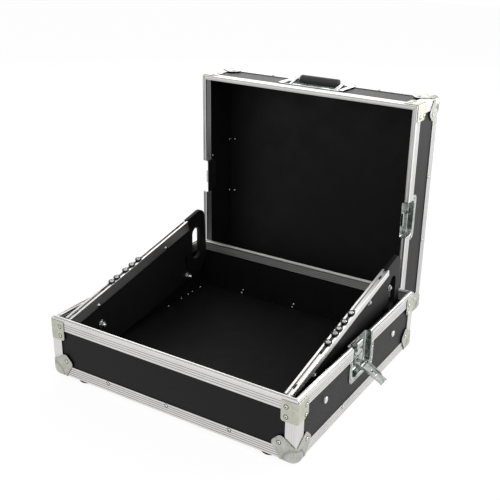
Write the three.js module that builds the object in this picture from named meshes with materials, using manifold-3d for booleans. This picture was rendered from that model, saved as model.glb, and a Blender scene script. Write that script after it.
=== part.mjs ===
// Flight case for a table mixer: a base tray with a tilting rack frame, and a lift-off lid that
// stands upright behind it. Millimetres, +Z up, origin at the middle of the base panel's underside.
import * as THREE from "three";
import { mergeVertices } from "three/addons/utils/BufferGeometryUtils.js";
import Module from "manifold-3d";

const wasm = await Module();
wasm.setup();

// Outside of the aluminium edges. The width follows from the mixer that the rails carry: their
// slots take the 465.1 mm hole spacing of a 19 inch rack.
const rackSlotSpacing = 466;
const railWidth = 14;
const railToCaseSide = 20;
const caseWidth = rackSlotSpacing + railWidth + 2 * railToCaseSide;
const caseDepth = 474;
const baseHeight = 116;
const lidHeight = 110.6;

// Where the open lid stands behind the base
const lidOffsetX = -54.7;
const lidBehindBase = 81.8;
const lidTurn = THREE.MathUtils.degToRad(-2.16);

// Boards, sheet and gaps
const plyThickness = 6;
const skinThickness = 1.5;
const seam = 0.3;
const overrun = 2;

// Edge angles and rim extrusions
const edgeLeg = 22;
const postLap = 0.1;
const rimLeg = 22;
const rimInnerLeg = 20;
const rimInnerSkin = 1.2;
const rimWeb = 4.2;
const tongueWidth = 2.6;
const tongueHeight = 2.2;
const grooveClearance = 0.5;

// Ball corners: a stamped ball with three broad lobes on the diagonals of the faces
const ballInset = 10;
const ballRadius = 14.2;
const ballSkin = 1.5;
const ballEdgeReach = 30.7;
const ballLobeReach = 46.5;
const ballLobeShoulder = 27;
const ballLobeRounding = 9;

// Corner braces
const braceFrontLeg = 30;
const braceSideLeg = 34;
const braceBelowRim = 3.5;
const braceHeight = 38.5;
const braceSkin = 1.2;
const braceRounding = 8;

// Feet
const footHeight = 8.9;
const footRadius = 12;
const footTaper = 1.5;
const footFromSide = 60;
const footFromFront = 23;

// Latch dishes, seen from outside
const dishSkin = 1.2;
const dishFlangeWidth = 98;
const dishRecessWidth = 75;
const dishDepth = 13;
const dishFlangeBand = 9;
const dishRounding = 12;
const baseDishHeight = 70;
const lidDishHeight = 41;

// Butterfly latch: a rotor turns on the dish's post, and the hook's strap turns on its eccentric
const rotorBelowRim = 36;
const rotorRadius = 17;
const rotorThickness = 4;
const eccentricRadius = 9.5;
const eccentricThrow = 5.5;
const postRadius = 2.7;
const postHeadRadius = 5;
const postHeadThickness = 1.5;
const hookThickness = 2.5;
const hookStrapWidth = 6;
const hookNeckHalfWidth = 11;
const hookBelowRim = 4;
const hookStep = 5;
const hookClawGap = 1.5;
const keeperHalfWidth = 14;
const keeperSkin = 1.5;
const keeperBelowRim = 1;
const keeperFoot = 20;
const keeperLip = 3.5;

// Wing of the latch
const wingLength = 46.5;
const wingHalfWidth = 12;
const wingSkin = 1.6;
const wingDroop = THREE.MathUtils.degToRad(29.5);
const wingPinBelowRotor = 12.5;
const wingPinProud = 1.8;
const wingPinRadius = 1.6;
const wingKnuckleRadius = 3.4;
const wingFlangeLength = 28;
const wingFlangeHeight = 5;
const wingFlangeSkin = 1.2;
const wingTipFlare = 2.5;
const wingTipLength = 7;
const wingHoleHalfLength = 5;
const wingHoleHalfWidth = 3;
const lugThickness = 2.2;

// Tilting rack frame: cheek boards turn on the front bolts and clamp on the rear ones
const boltFromFront = 97.6;
const boltBelowRim = 48;
const lockBoltFromRear = 94.8;
const lockBoltBelowPivot = 3;
const boltRadius = 3;
const boltHeadRadius = 10;
const boltHeadHeight = 3.6;
const boltHeadShoulderShare = 0.82;
const boltHeadCrownShare = 0.4;
const boltHeadShoulderHeightShare = 0.7;
const boltEnd = 9;
const spacerRadius = 7;
const washerRadius = 9;
const washerThickness = 1.5;
const nutRadius = 5.8;
const nutThickness = 5;
const nutSides = 6;
const frameTilt = THREE.MathUtils.degToRad(9);
const cheekThickness = 9;
const cheekFloorGap = 1.9;
const cheekFrontFromFront = 22;
const cheekTopFromRear = 27.5;
const cheekTopHeight = 208;
const cheekHeelFromRear = 21;
const cheekHeelHeight = 95;
const cheekToeFromRear = 44;
const cheekTopRounding = 20;
const cheekHeelRounding = 15;
const cheekToeRounding = 6;
const handSlotFromRear = 59.5;
const handSlotHalfWidth = 14;
const handSlotLow = 95;
const handSlotHigh = 167;

// Rack rails on the cheeks
const railSlope = THREE.MathUtils.degToRad(12.1);
const railFromFront = 16;
const railFromRear = 92;
const railRearHeight = 192;
const railSkin = 1.5;
const railLip = 4;
const railChannelDepth = 8;
const railInnerFlange = 22;
const railOuterLip = 10;
const stripThickness = 3;
const screwRadius = 2.5;
const screwHeadRadius = 4.5;
const screwHeadHeight = 2.6;
const screwLength = 7;
const cupRadius = 6.8;
const cupHeight = 2.4;
const cupSkin = 1.1;
const screwBrimShare = 0.9;
const screwBrimHeightShare = 0.6;
const screwCrownShare = 0.5;
const rightScrewShares = [0.366, 0.436, 0.475, 0.532, 0.604];
const leftScrewShares = [0.337, 0.378, 0.451, 0.505, 0.562];
const stripEndShare = 0.035;

// Recessed bail handle on the wall of the lid that stands on top
const handleFlangeHalfWidth = 79;
const handleFlangeLow = 9.5;
const handleBelowRim = 26;
const handleRecessHalfWidth = 66;
const handleFlangeBand = 5.6;
const handleDepth = 14;
const handleRounding = 10;
const bailRadius = 3.75;
const bailHalfWidth = 55;
const bailEndInset = 33;
const bailBend = 7;
const bailBelowRecessTop = 8.4;
const bailHingeDepth = 5;
const gripAboveRecessLow = 9.8;
const gripProud = 4.5;
const gripRadius = 9.5;
const gripLength = 95;
const gripRounding = 3;
const sleeveSkin = 1.4;
const sleeveLength = 20;

// A full round takes almost its whole half width as its radius
const roundShare = 0.98;

// Facets
const roundSteps = 7;
const cornerSteps = 2;
const smallRoundSteps = 4;
const ballSegments = 16;
const screwSegments = 9;
const latheSegments = 16;
const tubeSides = 8;

// Places that follow from the sizes above
const halfWidth = caseWidth / 2;
const halfDepth = caseDepth / 2;
const boardX = halfWidth - skinThickness - seam;
const boardY = halfDepth - skinThickness - seam;
const boardFloor = skinThickness + seam;
const wallLine = skinThickness + seam + plyThickness + seam;
const rimWidth = wallLine + rimInnerSkin;
const dishOuterX = boardX + seam + dishSkin;
const dishBackX = dishOuterX - dishDepth;
const hookX = dishBackX + seam;
const rotorX = hookX + hookThickness + seam;
const rotorFaceX = rotorX + rotorThickness;
const railMiddleX = rackSlotSpacing / 2;
const railInnerX = railMiddleX - railWidth / 2;
const railOuterX = railMiddleX + railWidth / 2;
const cheekInnerX = railInnerX + railSkin + seam;
const cheekOuterX = cheekInnerX + cheekThickness;
const handleFlangeHigh = lidHeight - handleBelowRim;
const handleRecessLow = edgeLeg + 2 * seam + dishSkin;
const handleRecessHigh = handleFlangeHigh - handleFlangeBand;
const bailHingeHeight = handleRecessHigh - bailBelowRecessTop;
const gripHeight = handleRecessLow + gripAboveRecessLow;
const pivotY = boltFromFront - halfDepth;
const pivotZ = baseHeight - boltBelowRim;
const railFrontY = railFromFront - halfDepth;
const railRearY = halfDepth - railFromRear;
const railTopAt = (y) => railRearHeight - (railRearY - y) * Math.tan(railSlope);

const materials = {
  board: new THREE.MeshStandardMaterial({ color: 0x232220, roughness: 0.55, metalness: 0 }),
  inside: new THREE.MeshStandardMaterial({ color: 0x171717, roughness: 0.8, metalness: 0 }),
  aluminium: new THREE.MeshStandardMaterial({ color: 0xd2d3d2, roughness: 0.38, metalness: 0.9 }),
  zinc: new THREE.MeshStandardMaterial({ color: 0xb4b6ae, roughness: 0.42, metalness: 0.85 }),
  chrome: new THREE.MeshStandardMaterial({ color: 0xdedfe0, roughness: 0.15, metalness: 1 }),
  blackSteel: new THREE.MeshStandardMaterial({ color: 0x0f0f10, roughness: 0.45, metalness: 0.5 }),
  rubber: new THREE.MeshStandardMaterial({ color: 0x0c0c0c, roughness: 0.85, metalness: 0 }),
};

// Solids and meshes

// A closed solid from a geometry, with its faces turned outwards.
function solidOf(geometry) {
  const bare = geometry.clone();
  bare.deleteAttribute("normal");
  bare.deleteAttribute("uv");
  const merged = mergeVertices(bare);
  const points = merged.attributes.position;
  const corners = merged.index.array;
  const kept = [];
  const [a, b, c] = [new THREE.Vector3(), new THREE.Vector3(), new THREE.Vector3()];
  let volume = 0;
  for (let index = 0; index < corners.length; index += 3) {
    const [i, j, k] = corners.slice(index, index + 3);
    if (i === j || j === k || k === i) continue;
    a.fromBufferAttribute(points, i);
    b.fromBufferAttribute(points, j);
    c.fromBufferAttribute(points, k);
    volume += a.dot(b.cross(c));
    kept.push(i, j, k);
  }
  if (volume < 0) kept.reverse();
  const vertProperties = new Float32Array(points.array);
  return new wasm.Manifold(new wasm.Mesh({ numProp: 3, vertProperties, triVerts: Uint32Array.from(kept) }));
}

function geometryOf(solid) {
  const mesh = solid.getMesh();
  const geometry = new THREE.BufferGeometry();
  geometry.setAttribute("position", new THREE.BufferAttribute(mesh.vertProperties, 3));
  geometry.setIndex(new THREE.BufferAttribute(mesh.triVerts, 1));
  geometry.computeVertexNormals();
  return geometry;
}

const joined = (solids) => solids.reduce((whole, solid) => whole.add(solid));

function cut(solid, cutters) {
  return cutters.reduce((rest, cutter) => rest.subtract(cutter), solid);
}

function piece(name, solid, material) {
  const mesh = new THREE.Mesh(geometryOf(solid), material);
  mesh.name = name;
  return mesh;
}

// The solid moved by a matrix; a mirrored one comes back with its faces outwards.
function moved(solid, matrix) {
  return solidOf(geometryOf(solid).applyMatrix4(matrix));
}

const mirrorX = new THREE.Matrix4().makeScale(-1, 1, 1);
const onSide = (solid, side) => (side < 0 ? moved(solid, mirrorX) : solid);

function block([x0, y0, z0], [x1, y1, z1]) {
  const box = new THREE.BoxGeometry(x1 - x0, y1 - y0, z1 - z0);
  box.translate((x0 + x1) / 2, (y0 + y1) / 2, (z0 + z1) / 2);
  return solidOf(box);
}

// A closed outline through corners [u, v, radius], each rounded by its own radius.
function outline(corners) {
  const shape = new THREE.Shape();
  corners.forEach(([u, v, radius = 0], index) => {
    const corner = new THREE.Vector2(u, v);
    const [bu, bv] = corners[(index + corners.length - 1) % corners.length];
    const [au, av] = corners[(index + 1) % corners.length];
    const toBefore = new THREE.Vector2(bu, bv).sub(corner).normalize();
    const toAfter = new THREE.Vector2(au, av).sub(corner).normalize();
    if (radius === 0) {
      if (index === 0) shape.moveTo(u, v);
      else shape.lineTo(u, v);
      return;
    }
    const halfAngle = Math.acos(toBefore.dot(toAfter)) / 2;
    const tangent = radius / Math.tan(halfAngle);
    const middle = toBefore.clone().add(toAfter).normalize();
    const centre = corner.clone().addScaledVector(middle, radius / Math.sin(halfAngle));
    const start = corner.clone().addScaledVector(toBefore, tangent).sub(centre);
    const end = corner.clone().addScaledVector(toAfter, tangent).sub(centre);
    const clockwise = toBefore.cross(toAfter) > 0;
    shape.absarc(centre.x, centre.y, radius, start.angle(), end.angle(), clockwise);
  });
  return shape;
}

function circle(u, v, radius) {
  const shape = new THREE.Shape();
  shape.absarc(u, v, radius, 0, 2 * Math.PI, false);
  return shape;
}

const rectangle = (u0, v0, u1, v1, radius = 0) =>
  outline([[u0, v0, radius], [u1, v0, radius], [u1, v1, radius], [u0, v1, radius]]);

const unitX = new THREE.Vector3(1, 0, 0);
const unitY = new THREE.Vector3(0, 1, 0);
const unitZ = new THREE.Vector3(0, 0, 1);

function extruded(shape, depth, steps) {
  return new THREE.ExtrudeGeometry(shape, { depth, bevelEnabled: false, curveSegments: steps });
}

// An outline drawn in (y, z), from x0 to x1.
function alongX(shape, x0, x1, steps = cornerSteps) {
  const geometry = extruded(shape, x1 - x0, steps);
  geometry.applyMatrix4(new THREE.Matrix4().makeBasis(unitY, unitZ, unitX));
  return solidOf(geometry.translate(x0, 0, 0));
}

// An outline drawn in (x, z), from y0 to y1.
function alongY(shape, y0, y1, steps = cornerSteps) {
  const geometry = extruded(shape, y1 - y0, steps);
  geometry.applyMatrix4(new THREE.Matrix4().makeBasis(unitX, unitZ, unitY.clone().negate()));
  return solidOf(geometry.translate(0, y1, 0));
}

// An outline drawn in (x, y), from z0 to z1.
function alongZ(shape, z0, z1, steps = cornerSteps) {
  return solidOf(extruded(shape, z1 - z0, steps).translate(0, 0, z0));
}

// A profile of [radius, height] points turned about the Z axis.
function turned(profile, segments = latheSegments) {
  const points = profile.map(([radius, height]) => new THREE.Vector2(radius, height));
  const geometry = new THREE.LatheGeometry(points, segments);
  return solidOf(geometry.rotateX(Math.PI / 2));
}

// Tray: the five boards of a base or lid, its edge frame, rim and corners. The opening faces +Z.
// The sides are named by ends: -Y, +Y, +X and -X.

// Matrices that take a corner drawn at the origin, with the tray on its positive sides, to the
// four corners of the tray.
function trayCorners([low, high, right, left]) {
  const places = [];
  for (const [nameX, sideX] of [[right, 1], [left, -1]]) {
    for (const [nameY, sideY] of [[low, -1], [high, 1]]) {
      const place = new THREE.Matrix4().makeTranslation(sideX * halfWidth, sideY * halfDepth, 0);
      place.multiply(new THREE.Matrix4().makeScale(-sideX, -sideY, 1));
      places.push({ name: `${nameY}_${nameX}`, place });
    }
  }
  return places;
}

// A pyramid over the corner at the origin, cut off where it reaches along each axis.
function cornerPyramid(reach, tip) {
  const far = reach - 2 * tip;
  const pyramid = extruded(outline([[tip, tip], [far, tip], [tip, far]]), 1, cornerSteps);
  const points = pyramid.attributes.position;
  for (let index = 0; index < points.count; index += 1) {
    if (points.getZ(index) > 0) points.setXYZ(index, tip, tip, far);
    else points.setZ(index, tip);
  }
  return solidOf(pyramid);
}

// How far along each edge the ball's hollow cuts the corner of what lies under it.
const cornerReach = (gap) => 3 * ballInset - Math.sqrt(3) * (ballRadius - ballSkin - gap);

// A closed frame round the tray between two insets from its outer faces.
function frameRing(inset, innerInset, z0, z1) {
  const x = halfWidth - inset;
  const y = halfDepth - inset;
  const shape = rectangle(-x, -y, x, y);
  const ix = halfWidth - innerInset;
  const iy = halfDepth - innerInset;
  shape.holes.push(rectangle(-ix, -iy, ix, iy));
  return alongZ(shape, z0, z1);
}

// The lower edge angles, joined at the corners, with their upright legs mitred for the posts.
function edgeFrame(corners) {
  const frame = frameRing(0, edgeLeg, 0, skinThickness).add(frameRing(0, skinThickness, 0, edgeLeg));
  const gap = seam / Math.SQRT2;
  const far = edgeLeg + overrun;
  const above = outline([[-far, -far - gap], [far, far - gap], [far, far + far], [-far, far + far]]);
  const cutter = alongY(above, -overrun, skinThickness + seam / 2)
    .add(alongX(above, -overrun, skinThickness + seam / 2));
  return cut(frame, [...corners.map(({ place }) => moved(cutter, place)), ...cornerCutters(corners)]);
}

// Cuts off the tray's four lower corners, under the balls.
function cornerCutters(corners) {
  const pyramid = cornerPyramid(cornerReach(seam), -overrun);
  return corners.map(({ place }) => moved(pyramid, place));
}

// The rim: a channel over the boards' edges with a tongue or a groove on its web.
function rimRing(height, tongue) {
  const inner = rimWidth - rimInnerSkin;
  const low = height - rimLeg;
  const middle = rimWidth / 2;
  const half = tongue ? tongueWidth / 2 : tongueWidth / 2 + grooveClearance;
  const channel = frameRing(0, rimWidth, low, height)
    .subtract(frameRing(skinThickness, inner, low - overrun, height - rimWeb))
    .subtract(frameRing(skinThickness, rimWidth + overrun, low - overrun, height - rimInnerLeg));
  const ridge = frameRing(middle - half, middle + half, height - seam, height + tongueHeight);
  if (tongue) return channel.add(ridge);
  const groove = height - tongueHeight - grooveClearance;
  return channel.subtract(frameRing(middle - half, middle + half, groove, height + overrun));
}

// The upright angle at a corner, cut to a point between the two lower edges. It stands a little
// proud of the other edges, into the corner's pressings.
function cornerPost(height) {
  const outer = -seam - postLap;
  const angle = outline([
    [outer, outer], [edgeLeg, outer], [edgeLeg, skinThickness],
    [skinThickness, skinThickness], [skinThickness, edgeLeg], [outer, edgeLeg],
  ]);
  const top = height - rimLeg - seam;
  const gap = seam / Math.SQRT2;
  const far = edgeLeg + overrun;
  const below = outline([[-far, gap - far], [far, gap + far], [far, -far], [-far, gap - far - overrun]]);
  return cut(alongZ(angle, 0, top), [
    alongY(below, outer - overrun, far),
    alongX(below, outer - overrun, far),
    cornerPyramid(cornerReach(seam), -overrun),
  ]);
}

// The ball: its three lobes and the hollow that fits the cut corner.
function ballCorner() {
  const ball = new THREE.SphereGeometry(ballRadius, ballSegments, ballSegments / 2);
  const reach = ballLobeReach;
  const lobe = outline([
    [-seam - ballSkin, -seam - ballSkin], [ballEdgeReach, -seam - ballSkin],
    [reach, ballLobeShoulder, ballLobeRounding], [ballLobeShoulder, reach, ballLobeRounding],
    [-seam - ballSkin, ballEdgeReach],
  ]);
  const plate = alongZ(lobe, -seam - ballSkin, -seam);
  const turnOnce = new THREE.Matrix4().makeBasis(unitY, unitZ, unitX);
  const second = moved(plate, turnOnce);
  const third = moved(second, turnOnce);
  const far = reach + ballRadius;
  const body = block([-seam, -seam, -seam], [far, far, far]);
  const hollow = body.subtract(cornerPyramid(cornerReach(0), -seam - overrun));
  const tip = 3 * ballInset - Math.sqrt(3) * ballRadius;
  const blunt = cornerPyramid(tip, -seam - ballSkin - overrun);
  const lobes = joined([plate, second, third]).subtract(blunt);
  return lobes.add(solidOf(ball.translate(ballInset, ballInset, ballInset))).subtract(hollow);
}

// An angle plate over the rim's corner and the post, with rounded lower corners.
function cornerBrace(height) {
  const top = height - braceBelowRim;
  const low = top - braceHeight;
  const outer = -seam - braceSkin;
  const leg = (reach) => outline([
    [outer, low], [reach, low, braceRounding], [reach, top], [outer, top],
  ]);
  return alongY(leg(braceFrontLeg), outer, -seam).add(alongX(leg(braceSideLeg), outer, -seam));
}

const cornerPiece = (height) => joined([cornerPost(height), ballCorner(), cornerBrace(height)]);

// The notch that a latch dish takes from a side board and its rim, on the +X side.
function dishNotch(height, dishHeight) {
  const half = dishRecessWidth / 2 + dishSkin + seam;
  const low = height - dishHeight + dishFlangeBand - dishSkin - seam;
  const top = height + tongueHeight + overrun;
  const shape = outline([
    [-half, low, dishRounding], [half, low, dishRounding], [half, top], [-half, top],
  ]);
  return alongX(shape, halfWidth - rimWidth - overrun, halfWidth + overrun);
}

// A pressed pan with a flange on the board and an open top at the rim, on the +X side.
function latchDish(height, dishHeight) {
  const flangeHalf = dishFlangeWidth / 2;
  const half = dishRecessWidth / 2;
  const low = height - dishHeight;
  const panLow = low + dishFlangeBand;
  const flangeTop = height - rimLeg - seam;
  const outer = half + dishSkin;
  const flange = outline([
    [-flangeHalf, low, dishRounding], [flangeHalf, low, dishRounding],
    [flangeHalf, flangeTop], [-flangeHalf, flangeTop],
  ]);
  const pan = outline([
    [-outer, panLow - dishSkin, dishRounding], [outer, panLow - dishSkin, dishRounding],
    [outer, height], [-outer, height],
  ]);
  const recess = outline([
    [-half, panLow, dishRounding - dishSkin], [half, panLow, dishRounding - dishSkin],
    [half, height + overrun], [-half, height + overrun],
  ]);
  const body = alongX(flange, boardX + seam, dishOuterX)
    .add(alongX(pan, dishBackX - dishSkin, dishOuterX));
  return body.subtract(alongX(recess, dishBackX, dishOuterX + overrun));
}

function trayPieces({ prefix, floorName, ends, height, tongue, dishHeight, boltHoles, wallCut }) {
  const wallTop = height - rimWeb - seam;
  const wallLow = boardFloor + plyThickness + seam;
  const corners = trayCorners(ends);
  const notches = [1, -1].map((side) => onSide(dishNotch(height, dishHeight), side));
  const floor = block([-boardX, -boardY, boardFloor], [boardX, boardY, boardFloor + plyThickness]);
  const floorPanel = cut(floor, cornerCutters(corners));
  const meshes = [piece(`${prefix}_${floorName}_panel`, floorPanel, materials.board)];
  const endBoard = block([-boardX, -boardY, wallLow], [boardX, plyThickness - boardY, wallTop]);
  const sideY = boardY - plyThickness - seam;
  const sideBoard = block([boardX - plyThickness, -sideY, wallLow], [boardX, sideY, wallTop]);
  const mirrorY = new THREE.Matrix4().makeScale(1, -1, 1);
  const boards = [endBoard, moved(endBoard, mirrorY), sideBoard, onSide(sideBoard, -1)];
  ends.forEach((name, index) => {
    const board = cut(boards[index], [...notches, ...boltHoles, ...wallCut]);
    meshes.push(piece(`${prefix}_${name}_panel`, board, materials.board));
  });
  meshes.push(piece(`${prefix}_edge_frame`, edgeFrame(corners), materials.aluminium));
  const rim = cut(rimRing(height, tongue), notches);
  const far = halfDepth + overrun;
  const top = height + tongueHeight + overrun;
  [-far, far].forEach((reach, index) => {
    const side = halfWidth + overrun;
    const half = block([-side, Math.min(0, reach), 0], [side, Math.max(0, reach), top]);
    meshes.push(piece(`${prefix}_rim_${ends[index]}`, rim.intersect(half), materials.aluminium));
  });
  for (const { name, place } of corners) {
    meshes.push(piece(`${prefix}_corner_${name}`, moved(cornerPiece(height), place), materials.zinc));
  }
  return meshes;
}

// Base

function rubberFoot() {
  const low = -footHeight;
  const round = footTaper;
  return turned([
    [0, low], [footRadius - 2 * round, low], [footRadius - round, low + round],
    [footRadius, -seam], [0, -seam],
  ]);
}

function footPieces() {
  const meshes = [];
  for (const [nameX, sideX] of [["right", 1], ["left", -1]]) {
    for (const [nameY, sideY] of [["front", -1], ["rear", 1]]) {
      const y = sideY * (halfDepth - footFromFront);
      const place = new THREE.Matrix4().makeTranslation(sideX * (halfWidth - footFromSide), y, 0);
      meshes.push(piece(`rubber_foot_${nameY}_${nameX}`, moved(rubberFoot(), place), materials.rubber));
    }
  }
  return meshes;
}

const boltPlaces = [[pivotY, pivotZ], [halfDepth - lockBoltFromRear, pivotZ - lockBoltBelowPivot]];
const boltNames = ["pivot", "lock"];

// A profile turned about Z, laid along +X from x0 at the place (y, z), on the side given.
function alongBolt(profile, x0, [y, z], side, segments = latheSegments) {
  const place = new THREE.Matrix4().makeTranslation(x0, y, z);
  place.multiply(new THREE.Matrix4().makeBasis(unitY, unitZ, unitX));
  return onSide(moved(turned(profile, segments), place), side);
}

// One of each piece on every bolt, as [name, solid] pairs.
function onBolts(name, make) {
  const pairs = [];
  for (const [sideName, side] of [["right", 1], ["left", -1]]) {
    boltPlaces.forEach((place, index) => {
      pairs.push([`${boltNames[index]}_${name}_${sideName}`, make(place, side)]);
    });
  }
  return pairs;
}

const nutLowX = cheekInnerX - seam - washerThickness - nutThickness;

function frameBolt(place, side) {
  const end = nutLowX - boltEnd / 2;
  const under = boardX + seam - end;
  const shoulder = under + boltHeadHeight * boltHeadShoulderHeightShare;
  const crown = under + boltHeadHeight;
  const profile = [
    [0, 0], [boltRadius, 0], [boltRadius, under], [boltHeadRadius, under],
    [boltHeadRadius * boltHeadShoulderShare, shoulder],
    [boltHeadRadius * boltHeadCrownShare, crown], [0, crown],
  ];
  return alongBolt(profile, end, place, side);
}

function tubeProfile(inner, outer, length) {
  return [[inner, 0], [outer, 0], [outer, length], [inner, length], [inner, 0]];
}

function frameSpacer(place, side) {
  const start = cheekOuterX + seam;
  const length = boardX - plyThickness - seam - start;
  return alongBolt(tubeProfile(boltRadius + seam, spacerRadius, length), start, place, side);
}

// A flanged hexagon nut.
function frameNut(place, side) {
  const disc = (radius, length) => [[0, 0], [radius, 0], [radius, length], [0, length]];
  const nut = alongBolt(disc(nutRadius, nutThickness + seam), nutLowX, place, side, nutSides);
  const flangeX = nutLowX + nutThickness;
  const flange = alongBolt(disc(washerRadius, washerThickness), flangeX, place, side);
  const length = nutThickness + washerThickness + 2 * overrun;
  const bore = alongBolt(disc(boltRadius + seam, length), nutLowX - overrun, place, side);
  return nut.add(flange).subtract(bore);
}

function boltHole([y, z], side) {
  const shape = circle(y, z, boltRadius + seam);
  const low = boardX - plyThickness - overrun;
  return onSide(alongX(shape, low, boardX + overrun, roundSteps), side);
}

// Latch on the +X side

const rotorZ = baseHeight - rotorBelowRim;
const pinX = halfWidth + wingPinProud;
const pinZ = rotorZ - wingPinBelowRotor;

function baseDish() {
  const headLow = rotorFaceX + seam;
  const headTop = headLow + postHeadThickness;
  const post = alongX(circle(0, rotorZ, postRadius), dishBackX - dishSkin / 2, headTop, roundSteps);
  const head = alongX(circle(0, rotorZ, postHeadRadius), headLow, headTop, roundSteps);
  return joined([latchDish(baseHeight, baseDishHeight), post, head]);
}

// The rotor: a disc with two lugs and the wing's pin in front, and the eccentric behind.
function latchRotor() {
  const round = (z, radius, x0, x1) => alongX(circle(0, z, radius), x0, x1, roundSteps);
  const disc = round(rotorZ, rotorRadius, rotorX, rotorFaceX);
  const eccentric = round(rotorZ - eccentricThrow, eccentricRadius, hookX, rotorX + seam);
  const bore = round(rotorZ, postRadius + seam, hookX - overrun, rotorFaceX + overrun);
  const knuckle = wingKnuckleRadius;
  const lug = outline([
    [rotorFaceX - seam, pinZ - knuckle], [pinX + knuckle, pinZ - knuckle, knuckle * roundShare],
    [pinX + knuckle, pinZ + knuckle, knuckle * roundShare], [rotorFaceX - seam, pinZ + knuckle],
  ]);
  const lugOuter = wingHalfWidth - wingFlangeSkin - seam;
  const lugs = bothEnds(lug, lugOuter - lugThickness, lugOuter, smallRoundSteps);
  const pinHalf = wingHalfWidth + wingFlangeSkin;
  const pin = alongY(circle(pinX, pinZ, wingPinRadius), -pinHalf, pinHalf, smallRoundSteps);
  return joined([joined([disc, eccentric]).subtract(bore), ...lugs, pin]);
}

// The outline twice, from near to far on the +Y side and the same on the -Y side.
function bothEnds(shape, near, far, steps) {
  return [alongY(shape, near, far, steps), alongY(shape, -far, -near, steps)];
}

// The hook: a strap round the eccentric, a neck that steps out over the rotor, and a claw that
// turns in to pull on the keeper's lip.
function latchHook() {
  const strapZ = rotorZ - eccentricThrow;
  const strapRadius = eccentricRadius + seam + hookStrapWidth;
  const stepLow = rotorZ + rotorRadius + 2 * seam;
  const top = baseHeight - hookBelowRim;
  const plateFace = hookX + hookThickness;
  const half = hookNeckHalfWidth;
  const strap = alongX(circle(0, strapZ, strapRadius), hookX, plateFace, roundSteps);
  const neck = outline([
    [hookX, strapZ], [plateFace, strapZ], [plateFace, stepLow],
    [plateFace + hookStep, stepLow, hookThickness / 2], [plateFace + hookStep, top, hookThickness / 2],
    [dishBackX + hookClawGap, top], [dishBackX + hookClawGap, top - hookThickness],
    [hookX + hookStep, top - hookThickness], [hookX + hookStep, stepLow + hookThickness],
    [hookX, stepLow + hookThickness],
  ]);
  const bore = alongX(
    circle(0, strapZ, eccentricRadius + seam), hookX - overrun, plateFace + overrun, roundSteps,
  );
  return strap.add(alongY(neck, -half, half)).subtract(bore);
}

// The wing, drawn along +X from its pin at the origin with its flanges up.
function wingPlate() {
  const root = wingKnuckleRadius + wingSkin;
  const neck = wingLength - wingTipLength;
  const flare = wingHalfWidth + wingTipFlare;
  const plan = outline([
    [root, -wingHalfWidth], [neck, -wingHalfWidth], [wingLength, -flare, wingTipFlare],
    [wingLength, flare, wingTipFlare], [neck, wingHalfWidth], [root, wingHalfWidth],
  ]);
  const middle = (root + neck) / 2;
  const oval = rectangle(
    middle - wingHoleHalfLength, -wingHoleHalfWidth, middle + wingHoleHalfLength, wingHoleHalfWidth,
    wingHoleHalfWidth * roundShare,
  );
  const side = outline([
    [-wingKnuckleRadius, -wingKnuckleRadius, wingKnuckleRadius * roundShare],
    [root, -wingKnuckleRadius], [root + wingKnuckleRadius, -wingSkin / 2],
    [wingFlangeLength, -wingSkin / 2], [wingFlangeLength, wingSkin / 2],
    [root + wingFlangeHeight, wingFlangeHeight, wingFlangeHeight / 2], [root, wingFlangeHeight],
    [-wingKnuckleRadius, wingKnuckleRadius, wingKnuckleRadius * roundShare],
  ]);
  const flanges = bothEnds(side, wingHalfWidth - wingFlangeSkin, wingHalfWidth, cornerSteps);
  const bore = alongY(
    circle(0, 0, wingPinRadius + seam), -wingHalfWidth - overrun, wingHalfWidth + overrun, smallRoundSteps,
  );
  const plate = alongZ(plan, -wingSkin / 2, wingSkin / 2).subtract(
    alongZ(oval, -wingSkin - overrun, wingSkin + overrun, smallRoundSteps),
  );
  return joined([plate, ...flanges]).subtract(bore);
}

function latchWing() {
  const place = new THREE.Matrix4().makeTranslation(pinX, 0, pinZ);
  return moved(wingPlate(), place.multiply(new THREE.Matrix4().makeRotationY(wingDroop)));
}

// The lid's catch: a shorter dish with the keeper, whose lip the hook's claw pulls on.
function catchDish() {
  const top = lidHeight - keeperBelowRim;
  const back = dishBackX - dishSkin / 2;
  const footFace = dishBackX + keeperSkin;
  const lipFace = hookX + hookStep - 2 * seam;
  const keeper = outline([
    [back, top - keeperFoot], [footFace, top - keeperFoot], [footFace, top - keeperSkin],
    [lipFace - keeperSkin, top - keeperSkin], [lipFace - keeperSkin, top - keeperLip],
    [lipFace, top - keeperLip], [lipFace, top], [back, top],
  ]);
  return latchDish(lidHeight, lidDishHeight).add(alongY(keeper, -keeperHalfWidth, keeperHalfWidth));
}

// Tilting frame on the +X side, in the raised pose

const railSeat = railChannelDepth + railSkin + seam;

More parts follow.
